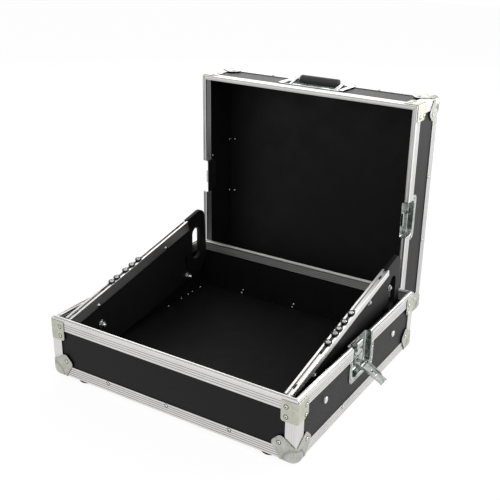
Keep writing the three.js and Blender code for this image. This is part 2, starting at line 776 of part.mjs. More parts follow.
function cheek() {
  const low = boardFloor + plyThickness + cheekFloorGap;
  const frontY = cheekFrontFromFront - halfDepth;
  const toeY = halfDepth - cheekToeFromRear;
  const railEnd = railRearY + 2 * seam;
  const board = outline([
    [frontY, low, cheekToeRounding],
    [pivotY, low],
    [toeY, low + (toeY - pivotY) * Math.tan(frameTilt), cheekHeelRounding],
    [halfDepth - cheekHeelFromRear, cheekHeelHeight, cheekHeelRounding],
    [halfDepth - cheekTopFromRear, cheekTopHeight, cheekTopRounding],
    [railEnd, railRearHeight + railSkin],
    [railEnd + railSeat * Math.sin(railSlope), railRearHeight - railSeat * Math.cos(railSlope)],
    [frontY, railTopAt(frontY) - railSeat / Math.cos(railSlope), cheekToeRounding],
  ]);
  const slotY = halfDepth - handSlotFromRear;
  const half = handSlotHalfWidth;
  const handSlot = rectangle(slotY - half, handSlotLow, slotY + half, handSlotHigh, half * roundShare);
  const x0 = cheekInnerX - overrun;
  const x1 = cheekOuterX + overrun;
  return cut(alongX(board, cheekInnerX, cheekOuterX, smallRoundSteps), [
    alongX(handSlot, x0, x1, smallRoundSteps),
    alongX(circle(...boltPlaces[0], boltRadius + seam), x0, x1, roundSteps),
    alongX(lockSlot(), x0, x1, smallRoundSteps),
  ]);
}

// The curved slot that the rear bolt clamps in: an arc about the front bolt, up from the bolt.
function lockSlot() {
  const [pivot, lock] = boltPlaces;
  const along = new THREE.Vector2(lock[0] - pivot[0], lock[1] - pivot[1]);
  const radius = along.length();
  const start = Math.atan2(along.y, along.x);
  const end = start + frameTilt;
  const half = boltRadius + seam;
  const at = (angle) => [pivot[0] + radius * Math.cos(angle), pivot[1] + radius * Math.sin(angle)];
  const shape = new THREE.Shape();
  shape.absarc(pivot[0], pivot[1], radius + half, start, end, false);
  shape.absarc(...at(end), half, end, end + Math.PI, false);
  shape.absarc(pivot[0], pivot[1], radius - half, end, start, true);
  shape.absarc(...at(start), half, start + Math.PI, start + 2 * Math.PI, false);
  return shape;
}

// Rail frame: y runs along the slope from the rail's front end, z is square to it, 0 on top.
const railLength = (railRearY - railFrontY) / Math.cos(railSlope);

function onRail(solid, side) {
  const place = new THREE.Matrix4().makeTranslation(0, railFrontY, railTopAt(railFrontY));
  return onSide(moved(solid, place.multiply(new THREE.Matrix4().makeRotationX(railSlope))), side);
}

// The rail: a slotted channel on top, a deep flange inside the cheek and a short lip outside.
function rackRail() {
  const inner = railInnerX;
  const floor = -railChannelDepth;
  const under = floor - railSkin;
  const innerSkin = inner + railSkin;
  const outerSkin = railOuterX - railSkin;
  const section = outline([
    [inner, 0], [inner, -railInnerFlange], [innerSkin, -railInnerFlange],
    [innerSkin, under], [outerSkin, under],
    [outerSkin, -railOuterLip - railSkin], [railOuterX, -railOuterLip - railSkin],
    [railOuterX, 0], [railOuterX - railLip, 0], [railOuterX - railLip, -railSkin],
    [outerSkin, -railSkin], [outerSkin, floor], [innerSkin, floor],
    [innerSkin, -railSkin], [inner + railLip, -railSkin], [inner + railLip, 0],
  ]);
  return alongY(section, 0, railLength);
}

// The strip in the channel, with its screws standing in it and a cup washer under each head.
function screwStrip(shares) {
  const half = railWidth / 2 - railSkin - seam;
  const top = -railSkin - seam;
  const start = (shares[0] - 2 * stripEndShare) * railLength;
  const end = (shares[shares.length - 1] + stripEndShare) * railLength;
  const strip = block(
    [railMiddleX - half, start, top - stripThickness], [railMiddleX + half, end, top],
  );
  const screws = shares.map((share) => {
    const place = new THREE.Matrix4().makeTranslation(railMiddleX, share * railLength, 0);
    return moved(turned(screwProfile(), screwSegments), place);
  });
  return joined([strip, ...screws]);
}

// A pan head sunk in a flared cup on a plain shank: one outline from the tip to the crown.
function screwProfile() {
  const cupTop = seam + cupHeight;
  const wall = cupRadius - cupSkin;
  const floor = seam + cupSkin;
  const brim = floor + screwHeadHeight * screwBrimHeightShare;
  const crown = floor + screwHeadHeight;
  return [
    [0, -screwLength], [screwRadius, -screwLength], [screwRadius, seam], [cupRadius - cupSkin / 2, seam],
    [cupRadius, cupTop], [wall, cupTop], [wall - cupSkin / 2, floor], [screwHeadRadius, floor],
    [screwHeadRadius * screwBrimShare, brim], [screwHeadRadius * screwCrownShare, crown], [0, crown],
  ];
}

// Handle on the lid's +Y wall, drawn in the lid's tray frame

const handleFaceY = halfDepth + seam + dishSkin;
const handleBackY = handleFaceY - handleDepth;
const bailHingeY = halfDepth - bailHingeDepth;
const gripY = halfDepth + gripProud;

function handleCut() {
  const half = handleRecessHalfWidth + dishSkin + seam;
  const low = handleRecessLow - dishSkin - seam;
  const high = handleRecessHigh + dishSkin + seam;
  const shape = rectangle(-half, low, half, high, handleRounding);
  return alongY(shape, boardY - plyThickness - overrun, boardY + overrun);
}

// The pressed pan and its flange, with two sleeves that hold the bail's ends.
function handleDish() {
  const flange = rectangle(
    -handleFlangeHalfWidth, handleFlangeLow, handleFlangeHalfWidth, handleFlangeHigh, handleRounding,
  );
  const half = handleRecessHalfWidth;
  const low = handleRecessLow;
  const high = handleRecessHigh;
  const outer = half + dishSkin;
  const pan = rectangle(-outer, low - dishSkin, outer, high + dishSkin, handleRounding);
  const recess = rectangle(-half, low, half, high, handleRounding - dishSkin);
  const shell = alongY(flange, halfDepth + seam, handleFaceY)
    .add(alongY(pan, handleBackY - dishSkin, handleFaceY))
    .subtract(alongY(recess, handleBackY, handleFaceY + overrun));
  return joined([shell, bailSleeve(-1), bailSleeve(1)]);
}

// A sleeve on a saddle from the pan's back, bored for the bail's end.
function bailSleeve(side) {
  const bore = bailRadius + seam;
  const outer = bore + sleeveSkin;
  const middle = bailHalfWidth - bailEndInset / 2 - bailBend / 2;
  const x0 = side * middle - sleeveLength / 2;
  const x1 = x0 + sleeveLength;
  const high = bailHingeHeight;
  const saddle = rectangle(handleBackY - dishSkin / 2, high - outer, bailHingeY, high + outer);
  const hole = alongX(circle(bailHingeY, high, bore), x0 - overrun, x1 + overrun, roundSteps);
  return alongX(circle(bailHingeY, high, outer), x0, x1, roundSteps)
    .add(alongX(saddle, x0, x1))
    .subtract(hole);
}

// The bail: a bent rod from one sleeve, round through the grip, to the other sleeve.
function handleBail() {
  const end = bailHalfWidth - bailEndInset;
  const hinge = (x) => new THREE.Vector3(x, bailHingeY, bailHingeHeight);
  const hold = (x) => new THREE.Vector3(x, gripY, gripHeight);
  const corners = [
    hinge(-end), hinge(-bailHalfWidth), hold(-bailHalfWidth),
    hold(bailHalfWidth), hinge(bailHalfWidth), hinge(end),
  ];
  const path = new THREE.CurvePath();
  let start = corners[0];
  corners.slice(1, -1).forEach((corner, index) => {
    const before = corners[index];
    const after = corners[index + 2];
    const enter = corner.clone().add(before.clone().sub(corner).setLength(bailBend));
    const leave = corner.clone().add(after.clone().sub(corner).setLength(bailBend));
    path.add(new THREE.LineCurve3(start, enter));
    path.add(new THREE.QuadraticBezierCurve3(enter, corner, leave));
    start = leave;
  });
  path.add(new THREE.LineCurve3(start, corners[corners.length - 1]));
  const section = new THREE.Shape();
  section.absarc(0, 0, bailRadius, 0, 2 * Math.PI, false);
  const rod = new THREE.ExtrudeGeometry(section, {
    steps: bailSteps(path), extrudePath: path, bevelEnabled: false, curveSegments: tubeSides / 2,
  });
  return solidOf(rod);
}

// Steps along the rod, a little longer than its radius.
const bailSteps = (path) => Math.round(path.getLength() / (bailRadius + bailRadius / 3));

function handleGrip() {
  const half = gripLength / 2;
  const bore = bailRadius + seam;
  const grip = turned([
    [bore, -half], [gripRadius - gripRounding, -half], [gripRadius, gripRounding - half],
    [gripRadius, half - gripRounding], [gripRadius - gripRounding, half], [bore, half], [bore, -half],
  ]);
  const place = new THREE.Matrix4().makeTranslation(0, gripY, gripHeight);
  return moved(grip, place.multiply(new THREE.Matrix4().makeRotationY(Math.PI / 2)));
}

// Assembly

function basePart() {
  const group = new THREE.Group();
  const holes = onBolts("hole", boltHole).map(([, solid]) => solid);
  group.add(...trayPieces({
    prefix: "base", floorName: "bottom", ends: ["front", "rear", "right", "left"], height: baseHeight,
    tongue: true, dishHeight: baseDishHeight, boltHoles: holes, wallCut: [],
  }));
  group.add(...footPieces());
  for (const [name, solid] of onBolts("bolt", frameBolt)) group.add(piece(name, solid, materials.zinc));
  for (const [name, solid] of onBolts("spacer", frameSpacer)) {
    group.add(piece(name, solid, materials.blackSteel));
  }
  for (const [name, solid] of onBolts("nut", frameNut)) group.add(piece(name, solid, materials.zinc));
  return group;
}

function latchPart(name, side) {
  const group = new THREE.Group();
  group.add(piece(`latch_dish_${name}`, onSide(baseDish(), side), materials.zinc));
  group.add(piece(`latch_rotor_${name}`, onSide(latchRotor(), side), materials.zinc));
  group.add(piece(`latch_hook_${name}`, onSide(latchHook(), side), materials.zinc));
  group.add(piece(`latch_wing_${name}`, onSide(latchWing(), side), materials.zinc));
  return group;
}

function rackPart(name, side, shares) {
  const group = new THREE.Group();
  group.add(piece(`tilt_cheek_${name}`, onSide(cheek(), side), materials.inside));
  group.add(piece(`rack_rail_${name}`, onRail(rackRail(), side), materials.aluminium));
  group.add(piece(`screw_strip_${name}`, onRail(screwStrip(shares), side), materials.blackSteel));
  return group;
}

// The lid is a tray turned on end: its opening faces the base and its handle wall is on top.
function lidPart() {
  const tray = new THREE.Group();
  tray.add(...trayPieces({
    prefix: "lid", floorName: "top", ends: ["rear", "front", "right", "left"], height: lidHeight,
    tongue: false, dishHeight: lidDishHeight, boltHoles: [], wallCut: [handleCut()],
  }));
  tray.add(piece("catch_dish_right", catchDish(), materials.zinc));
  tray.add(piece("catch_dish_left", onSide(catchDish(), -1), materials.zinc));
  tray.add(piece("handle_dish", handleDish(), materials.chrome));
  tray.add(piece("handle_bail", handleBail(), materials.chrome));
  tray.add(piece("handle_grip", handleGrip(), materials.rubber));
  tray.rotation.x = Math.PI / 2;
  tray.position.set(0, lidHeight, halfDepth);
  const stand = new THREE.Group();
  stand.add(tray);
  stand.rotation.z = lidTurn;
  const ballProud = ballRadius - ballInset;
  stand.position.set(lidOffsetX, halfDepth + lidBehindBase, ballProud - footHeight);
  return stand;
}

const flightCase = new THREE.Group();
flightCase.add(
  basePart(),
  latchPart("right", 1),
  latchPart("left", -1),
  rackPart("right", 1, rightScrewShares),
  rackPart("left", -1, leftScrewShares),
  lidPart(),
);
flightCase.position.z = -boardFloor;

export default flightCase;
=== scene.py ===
import math

import bmesh
import bpy
from mathutils import Matrix, Vector
from mathutils.geometry import tessellate_polygon

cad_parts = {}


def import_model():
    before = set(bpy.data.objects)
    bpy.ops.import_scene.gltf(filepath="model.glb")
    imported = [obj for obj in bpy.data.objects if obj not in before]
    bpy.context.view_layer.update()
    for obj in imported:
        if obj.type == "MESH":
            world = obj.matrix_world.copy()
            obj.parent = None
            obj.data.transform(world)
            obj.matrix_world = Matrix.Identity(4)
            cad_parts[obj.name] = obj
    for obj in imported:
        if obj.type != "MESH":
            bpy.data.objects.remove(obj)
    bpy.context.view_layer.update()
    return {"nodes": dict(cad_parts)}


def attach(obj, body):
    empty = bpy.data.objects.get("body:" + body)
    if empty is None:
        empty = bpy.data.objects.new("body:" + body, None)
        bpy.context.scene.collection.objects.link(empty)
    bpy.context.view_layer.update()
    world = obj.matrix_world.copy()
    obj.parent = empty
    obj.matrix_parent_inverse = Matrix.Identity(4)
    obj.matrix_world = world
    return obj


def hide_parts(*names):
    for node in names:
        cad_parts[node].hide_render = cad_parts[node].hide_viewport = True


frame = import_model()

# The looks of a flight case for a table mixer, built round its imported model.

# Sizes in millimetres. A tray's own frame has x across, y along its depth and z from its closed
# side to its rim.

HALF_WIDTH = 260
HALF_DEPTH = 237
BASE_HEIGHT = 116
LID_HEIGHT = 110.6
ORIGIN_HEIGHT = 1.8
LID_PLACE = (-54.7, 318.8, -4.7)
LID_TURN = -2.16
SKIN = 1.5
SEAM = 0.3
LEG = 22
BOARD = 6
BOARD_FACE = SKIN + SEAM
WALL_INSIDE = BOARD_FACE + BOARD
FLOOR_TOP = BOARD_FACE + BOARD

RIM_INNER_LEG = 20
RIM_WIDTH = 9.3
RIM_INNER_SKIN = 1.2
RIM_WEB = 4.2
TONGUE_WIDTH = 2.6
TONGUE_HEIGHT = 2.2
GROOVE_WIDTH = 3.6
GROOVE_DEPTH = 2.7
NOTCH_HALF = 39

BALL_INSET = 10
BALL_RADIUS = 14.2
DOME_INSET = 12.5
DOME_RADIUS = 16.35
CORNER_PROUD = 1.8
CORNER_BLEND = 1.8
CORNER_EDGE = 4.6
BLUNT_BLEND = 5
CORNER_SKIN = 1.3

BRACE_FRONT = 30
BRACE_SIDE = 34
BRACE_BELOW_RIM = 3.5
BRACE_HEIGHT = 38.5
BRACE_SKIN = 1.2
BRACE_BEND = 2

FOOT_RADIUS = 12
FOOT_HEIGHT = 8.9
FOOT_FROM_SIDE = 60
FOOT_FROM_FRONT = 23

BOARD_X = HALF_WIDTH - BOARD_FACE
DISH_SKIN = 1.2
DISH_FACE = BOARD_X + SEAM + DISH_SKIN
DISH_BACK = DISH_FACE - 13
DISH_FLANGE_HALF = 49
DISH_HALF = 37.5
DISH_BAND = 9
DISH_ROUNDING = 12
BASE_DISH = 70
LID_DISH = 41

ROTOR_Z = BASE_HEIGHT - 36
HOOK_X = DISH_BACK + SEAM
HOOK_SKIN = 2.5
ROTOR_X = HOOK_X + HOOK_SKIN + SEAM
ROTOR_FACE = ROTOR_X + 4
ROTOR_RADIUS = 17
ECCENTRIC_THROW = 5.5
ECCENTRIC_RADIUS = 9.5
STRAP_RADIUS = 15.8
STRAP_HOLE = ECCENTRIC_RADIUS + SEAM
STRAP_Z = ROTOR_Z - ECCENTRIC_THROW
PIN_X = HALF_WIDTH + 1.8
PIN_Z = ROTOR_Z - 12.5
PIN_RADIUS = 1.6
KNUCKLE = 3.4
WING_LENGTH = 49
WING_ROOT_HALF = 13.3
WING_TIP_HALF = 10.8
WING_LIFT = 1.8
WING_FLANGE = 38
WING_SKIN = 1.6
WING_DROOP = math.radians(29.5)

RAIL_MIDDLE = 233
RAIL_HALF = 7
RAIL_INNER = RAIL_MIDDLE - RAIL_HALF
RAIL_FRONT_Y = -221
RAIL_REAR_Y = 145
RAIL_REAR_Z = 192
RAIL_SLOPE = math.radians(12.1)
RAIL_LENGTH = (RAIL_REAR_Y - RAIL_FRONT_Y) / math.cos(RAIL_SLOPE)
RAIL_FRONT_Z = RAIL_REAR_Z - (RAIL_REAR_Y - RAIL_FRONT_Y) * math.tan(RAIL_SLOPE)
RAIL_SKIN = 1.5
RAIL_LIP = 4
RAIL_CHANNEL = 8
RAIL_WEB = 3.2
RAIL_INNER_FLANGE = 22
RAIL_OUTER_FLANGE = 11.5
RAIL_BOLTS = [(-145, 110.5), (66, 157.2)]
RAIL_SLOTS = (0.06, 0.934)
CHEEK_NUT = (161, 149)
SCREW_SHARES = {
    "right": [0.366, 0.436, 0.475, 0.532, 0.604],
    "left": [0.337, 0.378, 0.451, 0.505, 0.562],
}

CHEEK_X = RAIL_INNER + RAIL_SKIN + SEAM
CHEEK_THICKNESS = 9
CHEEK_TILT = math.radians(9)
BOLTS = {"pivot": (-139.4, 68), "lock": (142.2, 65)}
BOLT_RADIUS = 3
NUT_X = CHEEK_X - SEAM - 6.5

HANDLE_FLANGE = (-79, 9.5, 79, 84.6)
HANDLE_PAN = (-66, 23.8, 66, 79)
HANDLE_FACE = HALF_DEPTH + SEAM + DISH_SKIN
HANDLE_BACK = HANDLE_FACE - 14
BAIL_Y = HALF_DEPTH - 5
BAIL_Z = 70.6
BAIL_RADIUS = 3.75
BAIL_HALF = 55
BAIL_END = 22
BAIL_BEND = 7
GRIP_Y = HALF_DEPTH + 4.5
GRIP_Z = 33.6
GRIP_RADIUS = 9.5
GRIP_HALF = 47.5

RIB_DEPTH = 0.4
EDGE_BEND = 0.53
# The tone of dirt and painted shade in grooves, and of painted shade along the lower edges of the
# edge angles.
DIRT_AND_SHADE_TONE = 1
# The tone of painted shade on the flat tops of the rims.
RIM_TOP_SHADE_TONE = 2
MITRE_GAP = 0.3
# Bars and posts start this far from the corner, under its ball.
UNDER_BALL = 12
ARC_STEPS = 8
ROUND_SIDES = 32
SHARP_ANGLE = math.radians(38)
MILLIMETRE = 0.001

HEIGHTS = {"base": BASE_HEIGHT, "lid": LID_HEIGHT}
ENDS = {"base": {"front": -1, "rear": 1}, "lid": {"rear": -1, "front": 1}}

# Places

IDENTITY = Matrix()
SIDES = {"right": IDENTITY, "left": Matrix.Scale(-1, 4, (1, 0, 0))}
RIGHT, LEFT, REAR, FRONT, UP, DOWN = (
    (1, 0, 0), (-1, 0, 0), (0, 1, 0), (0, -1, 0), (0, 0, 1), (0, 0, -1),
)


def moved(x, y, z):
    return Matrix.Translation((x, y, z))


def facing(point, normal):
    """A place at the point, with its z axis along the normal."""
    return moved(*point) @ Vector(normal).to_track_quat("Z", "Y").to_matrix().to_4x4()


def axes(x, y, z, at=(0, 0, 0)):
    """A place given by its three axes and its origin."""
    matrix = Matrix()
    for index, column in enumerate((x, y, z, at)):
        matrix.col[index] = (*column, float(index == 3))
    return matrix


# Take a flat (u, v) drawing with its thickness along w to the plane that it lies in.
ON_X = axes(REAR, UP, RIGHT)
ON_Y = axes(RIGHT, UP, REAR)
ON_RAIL = moved(0, RAIL_FRONT_Y, RAIL_FRONT_Z) @ Matrix.Rotation(RAIL_SLOPE, 4, "X")

BASE = Matrix.Scale(MILLIMETRE, 4) @ moved(0, 0, -ORIGIN_HEIGHT)
LID = (
    BASE
    @ moved(*LID_PLACE)
    @ Matrix.Rotation(math.radians(LID_TURN), 4, "Z")
    @ moved(0, LID_HEIGHT, HALF_DEPTH)
    @ Matrix.Rotation(math.radians(90), 4, "X")
)


# Outlines


def rounded(corners, steps=ARC_STEPS):
    """A closed outline of (x, y) points, where a third number rounds the corner."""
    points = []
    count = len(corners)
    for index, corner in enumerate(corners):
        here = Vector(corner[:2])
        if len(corner) < 3:
            points.append(tuple(here))
            continue
        to_last = (Vector(corners[index - 1][:2]) - here).normalized()
        to_next = (Vector(corners[(index + 1) % count][:2]) - here).normalized()
        half = to_last.angle(to_next) / 2
        reach = corner[2] / math.tan(half)
        start = here + to_last * reach
        end = here + to_next * reach
        centre = here + (to_last + to_next).normalized() * corner[2] / math.sin(half)
        first = start - centre
        turn = first.angle_signed(end - centre)
        for step in range(steps + 1):
            angle = -turn * step / steps
            arm = Matrix.Rotation(angle, 2) @ first
            points.append(tuple(centre + arm))
    return points


def arc(x, y, radius, first, last, steps):
    turns = [first + (last - first) * step / steps for step in range(steps + 1)]
    return [(x + radius * math.cos(turn), y + radius * math.sin(turn)) for turn in turns]


def circle(x, y, radius, sides=ROUND_SIDES):
    return arc(x, y, radius, 0, 2 * math.pi, sides)[:-1]


def hexagon(x, y, radius, rounding):
    return rounded([(*point, rounding) for point in circle(x, y, radius, 6)], 3)


def mirrored(half):
    """The points of a half profile, then the same on the other side of zero."""
    return half + [(a, -b) for a, b in reversed(half)]


def box_outline(x0, y0, x1, y1, rounding=0.0):
    corners = [(x0, y0), (x1, y0), (x1, y1), (x0, y1)]
    return rounded([(*corner, rounding) for corner in corners]) if rounding else corners


def offset(outline, distance):
    """The outline drawn in by the distance, which for a clockwise outline is outwards."""
    count = len(outline)
    points = [Vector(point) for point in outline]
    result = []
    for index, here in enumerate(points):
        before = (here - points[index - 1]).normalized()
        after = (points[(index + 1) % count] - here).normalized()
        inward = Vector((-before.y - after.y, before.x + after.x))
        if inward.length < 1e-6:
            inward = Vector((-before.y, before.x))
        inward.normalize()
        spread = max(0.4, inward.dot(Vector((-before.y, before.x))))
        result.append(tuple(here + inward * (distance / spread)))
    return result


def area(outline):
    pairs = zip(outline, outline[1:] + outline[:1])
    return sum(a[0] * b[1] - b[0] * a[1] for a, b in pairs) / 2


# Closed forms, each added to a bmesh at a place. tone is the index of its material.


def add(bm, points, faces, at=IDENTITY, tone=0, uvs=None):
    verts = [bm.verts.new(at @ Vector(point)) for point in points]
    layer = bm.loops.layers.uv.verify()
    for index, corners in enumerate(faces):
        face = bm.faces.new([verts[corner] for corner in corners])
        face.material_index = tone[index] if isinstance(tone, list) else tone
        face.smooth = True
        if uvs:
            for loop, uv in zip(face.loops, uvs[index]):
                loop[layer].uv = uv
    return verts


def plate(bm, outline, z0, z1, edge=0.3, holes=(), at=IDENTITY, tone=0):
    """A flat plate between two heights with rounded edges and with holes."""
    loops = [outline if area(outline) > 0 else outline[::-1]]
    loops += [hole if area(hole) < 0 else hole[::-1] for hole in holes]
    soft = [(0, edge), (0.13 * edge, 0.5 * edge), (0.5 * edge, 0.13 * edge), (edge, 0)]
    levels = [(inset, z0 + rise) for inset, rise in reversed(soft)]
    levels += [(inset, z1 - rise) for inset, rise in soft]
    points, faces, starts = [], [], []
    for inset, height in levels:
        row = []
        for loop in loops:
            row.append(len(points))
            points += [(x, y, height) for x, y in offset(loop, inset)]
        starts.append(row)
    for lower, upper in zip(starts, starts[1:]):
        for low, high, loop in zip(lower, upper, loops):
            count = len(loop)
            for i in range(count):
                j = (i + 1) % count
                faces.append((low + i, low + j, high + j, high + i))
    for row, flip in ((starts[0], True), (starts[-1], False)):
        rings = [
            [Vector(point) for point in points[start:start + len(loop)]]
            for start, loop in zip(row, loops)
        ]
        numbers = [start + i for start, loop in zip(row, loops) for i in range(len(loop))]
        for triangle in tessellate_polygon(rings):
            corners = [numbers[i] for i in triangle]
            a, b, c = (Vector(points[i]) for i in corners)
            turned = (b - a).cross(c - a).z < 0
            faces.append(tuple(reversed(corners)) if turned != flip else tuple(corners))
    add(bm, points, faces, at, tone)


def bar(bm, profile, start, end, at=IDENTITY, tones=None):
    """A bar along X. start and end give where it begins and stops at each profile point, and
    tones the tone of each side that isn't 0."""
    count = len(profile)
    points = [(start(*p), *p) for p in profile] + [(end(*p), *p) for p in profile]
    faces, uvs = [], []
    run = 0.0
    for i in range(count):
        j = (i + 1) % count
        faces.append((i, i + count, j + count, j))
        along = [points[k][0] * MILLIMETRE for k in faces[-1]]
        first, run = run, run + math.dist(profile[i], profile[j])
        across = [distance * MILLIMETRE for distance in (first, first, run, run)]
        uvs.append(list(zip(along, across)))
    for cap in (tuple(range(count)), tuple(range(2 * count - 1, count - 1, -1))):
        faces.append(cap)
        uvs.append([(points[k][1] * MILLIMETRE, points[k][2] * MILLIMETRE) for k in cap])
    add(bm, points, faces, at, [(tones or {}).get(side, 0) for side in range(len(faces))], uvs)


def lathe(bm, profile, at=IDENTITY, sides=ROUND_SIDES, tone=0):
    """A profile of (radius, z) points turned about Z. Points on the axis close it."""
    points, faces, rows = [], [], []
    for radius, height in profile:
        if radius < 1e-6:
            rows.append([len(points)] * sides)
            points.append((0, 0, height))
            continue
        rows.append(list(range(len(points), len(points) + sides)))
        points += [(x, y, height) for x, y in circle(0, 0, radius, sides)]
    for low, high in zip(rows, rows[1:]):
        for i in range(sides):
            j = (i + 1) % sides
            corners = dict.fromkeys((low[i], low[j], high[j], high[i]))
            if len(corners) > 2:
                faces.append(tuple(corners))
    add(bm, points, faces, at, tone)


def ring(bm, profile, at=IDENTITY, sides=ROUND_SIDES, tone=0):
    """A closed profile turned about Z, with a hole through its middle."""
    lathe(bm, profile + profile[:1], at, sides, tone)


def sweep(bm, path, section, at=IDENTITY, closed=False):
    """A flat section drawn along a path of frames, with flat ends unless closed."""
    count = len(section)
    points = [place @ Vector((*point, 0)) for place in path for point in section]
    faces = []
    for r in range(len(path) if closed else len(path) - 1):
        low, high = r * count, ((r + 1) % len(path)) * count
        for i in range(count):
            j = (i + 1) % count
            faces.append((low + i, low + j, high + j, high + i))
    if not closed:
        faces.append(tuple(range(count - 1, -1, -1)))
        faces.append(tuple(range(len(points) - count, len(points))))
    add(bm, points, faces, at)


def take(bm, other):
    """Moves everything of the other bmesh into this one."""
    mesh = bpy.data.meshes.new("moved")
    other.to_mesh(mesh)
    other.free()
    bm.from_mesh(mesh)
    bpy.data.meshes.remove(mesh)


def outline_frames(outline, closed):
    """Frames along an (x, y) outline: their X axis points away from it, Y is up."""
    count = len(outline)
    frames = []
    for index, point in enumerate(outline):
        here = Vector(point)
        ways = []
        if closed or index:
            ways.append((here - Vector(outline[index - 1])).normalized())
        if closed or index < count - 1:
            ways.append((Vector(outline[(index + 1) % count]) - here).normalized())
        outward = [Vector((way.y, -way.x)) for way in ways]
        side = sum(outward, Vector((0, 0))).normalized()
        side *= 1 / max(0.5, side.dot(outward[0]))
        frames.append(axes((*side, 0), UP, (0, 0, 0), (*here, 0)))
    return frames


# Pieces


def finish(name, bm, body, materials, *nodes, modifiers=()):
    """The bmesh as a named piece on a body, in the place of the CAD nodes that it replaces."""
    # The normals before the move decide which way the open sheets of the ball corners thicken.
    bmesh.ops.recalc_face_normals(bm, faces=bm.faces)
    bm.transform(LID if body in ("lid", "handle") else BASE)
    bmesh.ops.recalc_face_normals(bm, faces=bm.faces)
    mesh = bpy.data.meshes.new(name)
    bm.to_mesh(mesh)
    bm.free()
    mesh.set_sharp_from_angle(angle=SHARP_ANGLE)
    piece = bpy.data.objects.new(name, mesh)
    bpy.context.scene.collection.objects.link(piece)
    for material in materials:
        mesh.materials.append(material)
    for kind, settings in (*modifiers, ("WEIGHTED_NORMAL", {"keep_sharp": True})):
        modifier = piece.modifiers.new(kind.lower(), kind)
        for key, value in settings.items():
            setattr(modifier, key, value)
    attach(piece, body)
    next(slot for slot, kinds in SLOTS.items() if materials[0] in kinds)
    if nodes:
        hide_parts(*nodes)


def sided(name, side, bm, body, materials, node):
    """A piece that is drawn for the right side and mirrored for the left."""
    bm.transform(SIDES[side])
    finish(f"{name}_{side}", bm, body, materials, f"{node}_{side}")


# Materials


class Nodes:
    """A short way to write a node tree."""

    def __init__(self, tree):
        self.tree = tree

    def node(self, kind, inputs=None, **settings):
        node = self.tree.nodes.new(kind)
        for key, value in settings.items():
            setattr(node, key, value)
        for key, value in (inputs or {}).items():
            self.feed(node.inputs[key], value)
        return node

    def feed(self, socket, value):
        if isinstance(value, bpy.types.NodeSocket):
            self.tree.links.new(value, socket)
        else:
            socket.default_value = value

    def place(self, output="Object"):
        return self.node("ShaderNodeTexCoord").outputs[output]

    def noise(self, vector, scale, detail=3.0, roughness=0.5):
        inputs = {"Vector": vector, "Scale": scale, "Detail": detail, "Roughness": roughness}
        return self.node("ShaderNodeTexNoise", inputs).outputs[0]

    def streaks(self, vector, scale, detail=3.0, roughness=0.5):
        """Noise with a scale of its own along each axis."""
        place = self.node("ShaderNodeMapping", {"Vector": vector, "Scale": scale}).outputs[0]
        return self.noise(place, 1, detail, roughness)

    def ramp(self, value, low, high, low_to, high_to):
        inputs = {0: value, 1: low, 2: high, 3: low_to, 4: high_to}
        return self.node("ShaderNodeMapRange", inputs).outputs[0]

    def mix(self, share, first, second):
        inputs = {0: share, 6: first, 7: second}
        return self.node("ShaderNodeMix", inputs, data_type="RGBA").outputs[2]

    def blend(self, share, first, second):
        return self.node("ShaderNodeMix", {0: share, 2: first, 3: second}).outputs[0]

    def maths(self, operation, first, second=0.0):
        return self.node("ShaderNodeMath", {0: first, 1: second}, operation=operation).outputs[0]

    def plus(self, first, share, second):
        """The first with a share of the second on it."""
        return self.maths("ADD", first, self.maths("MULTIPLY", second, share))

    def bump(self, height, strength, distance):
        inputs = {"Strength": strength, "Distance": distance, "Height": height}
        return self.node("ShaderNodeBump", inputs).outputs[0]

    def seen(self):
        """1 for a ray that the camera sees, straight, in a gloss or through glass, else 0."""
        path = self.node("ShaderNodeLightPath").outputs
        share = self.maths("MAXIMUM", path["Is Camera Ray"], path["Is Glossy Ray"])
        return self.maths("MAXIMUM", share, path["Is Transmission Ray"])


class Look(Nodes):
    """A material on a Principled shader, with its constants."""

    def __init__(self, name, **constants):
        self.material = bpy.data.materials.new(name)
        self.material.use_nodes = True
        super().__init__(self.material.node_tree)
        self.shade(**constants)

    def shade(self, **inputs):
        shader = self.tree.nodes["Principled BSDF"]
        for key, value in inputs.items():
            self.feed(shader.inputs[key.replace("_", " ")], value)
        return self.material


def grey(value, warm=0.0):
    return (value * (1 + warm), value, value * (1 - warm), 1)


def drawn_aluminium(name, low, high, dull):
    """Extruded aluminium: long draw lines along the bar, fine grain, rubbed dull spots."""
    n = Look(name, Metallic=1.0)
    uv = n.place("UV")
    lines = n.streaks(uv, (1.5, 700, 1), 3, 0.6)
    grain = n.streaks(uv, (30, 3600, 1), 2)
    patches = n.noise(n.place(), 13, 3, 0.6)
    tone = n.mix(lines, low, high)
    tone = n.mix(n.ramp(patches, 0.42, 0.72, 0, 0.3), tone, dull)
    rough = n.ramp(n.plus(lines, 0.6, patches), 0.4, 1.3, 0.28, 0.38)
    relief = n.bump(n.plus(lines, 0.5, grain), 0.015, 0.0001)
    return n.shade(Base_Color=tone, Roughness=rough, Normal=relief)


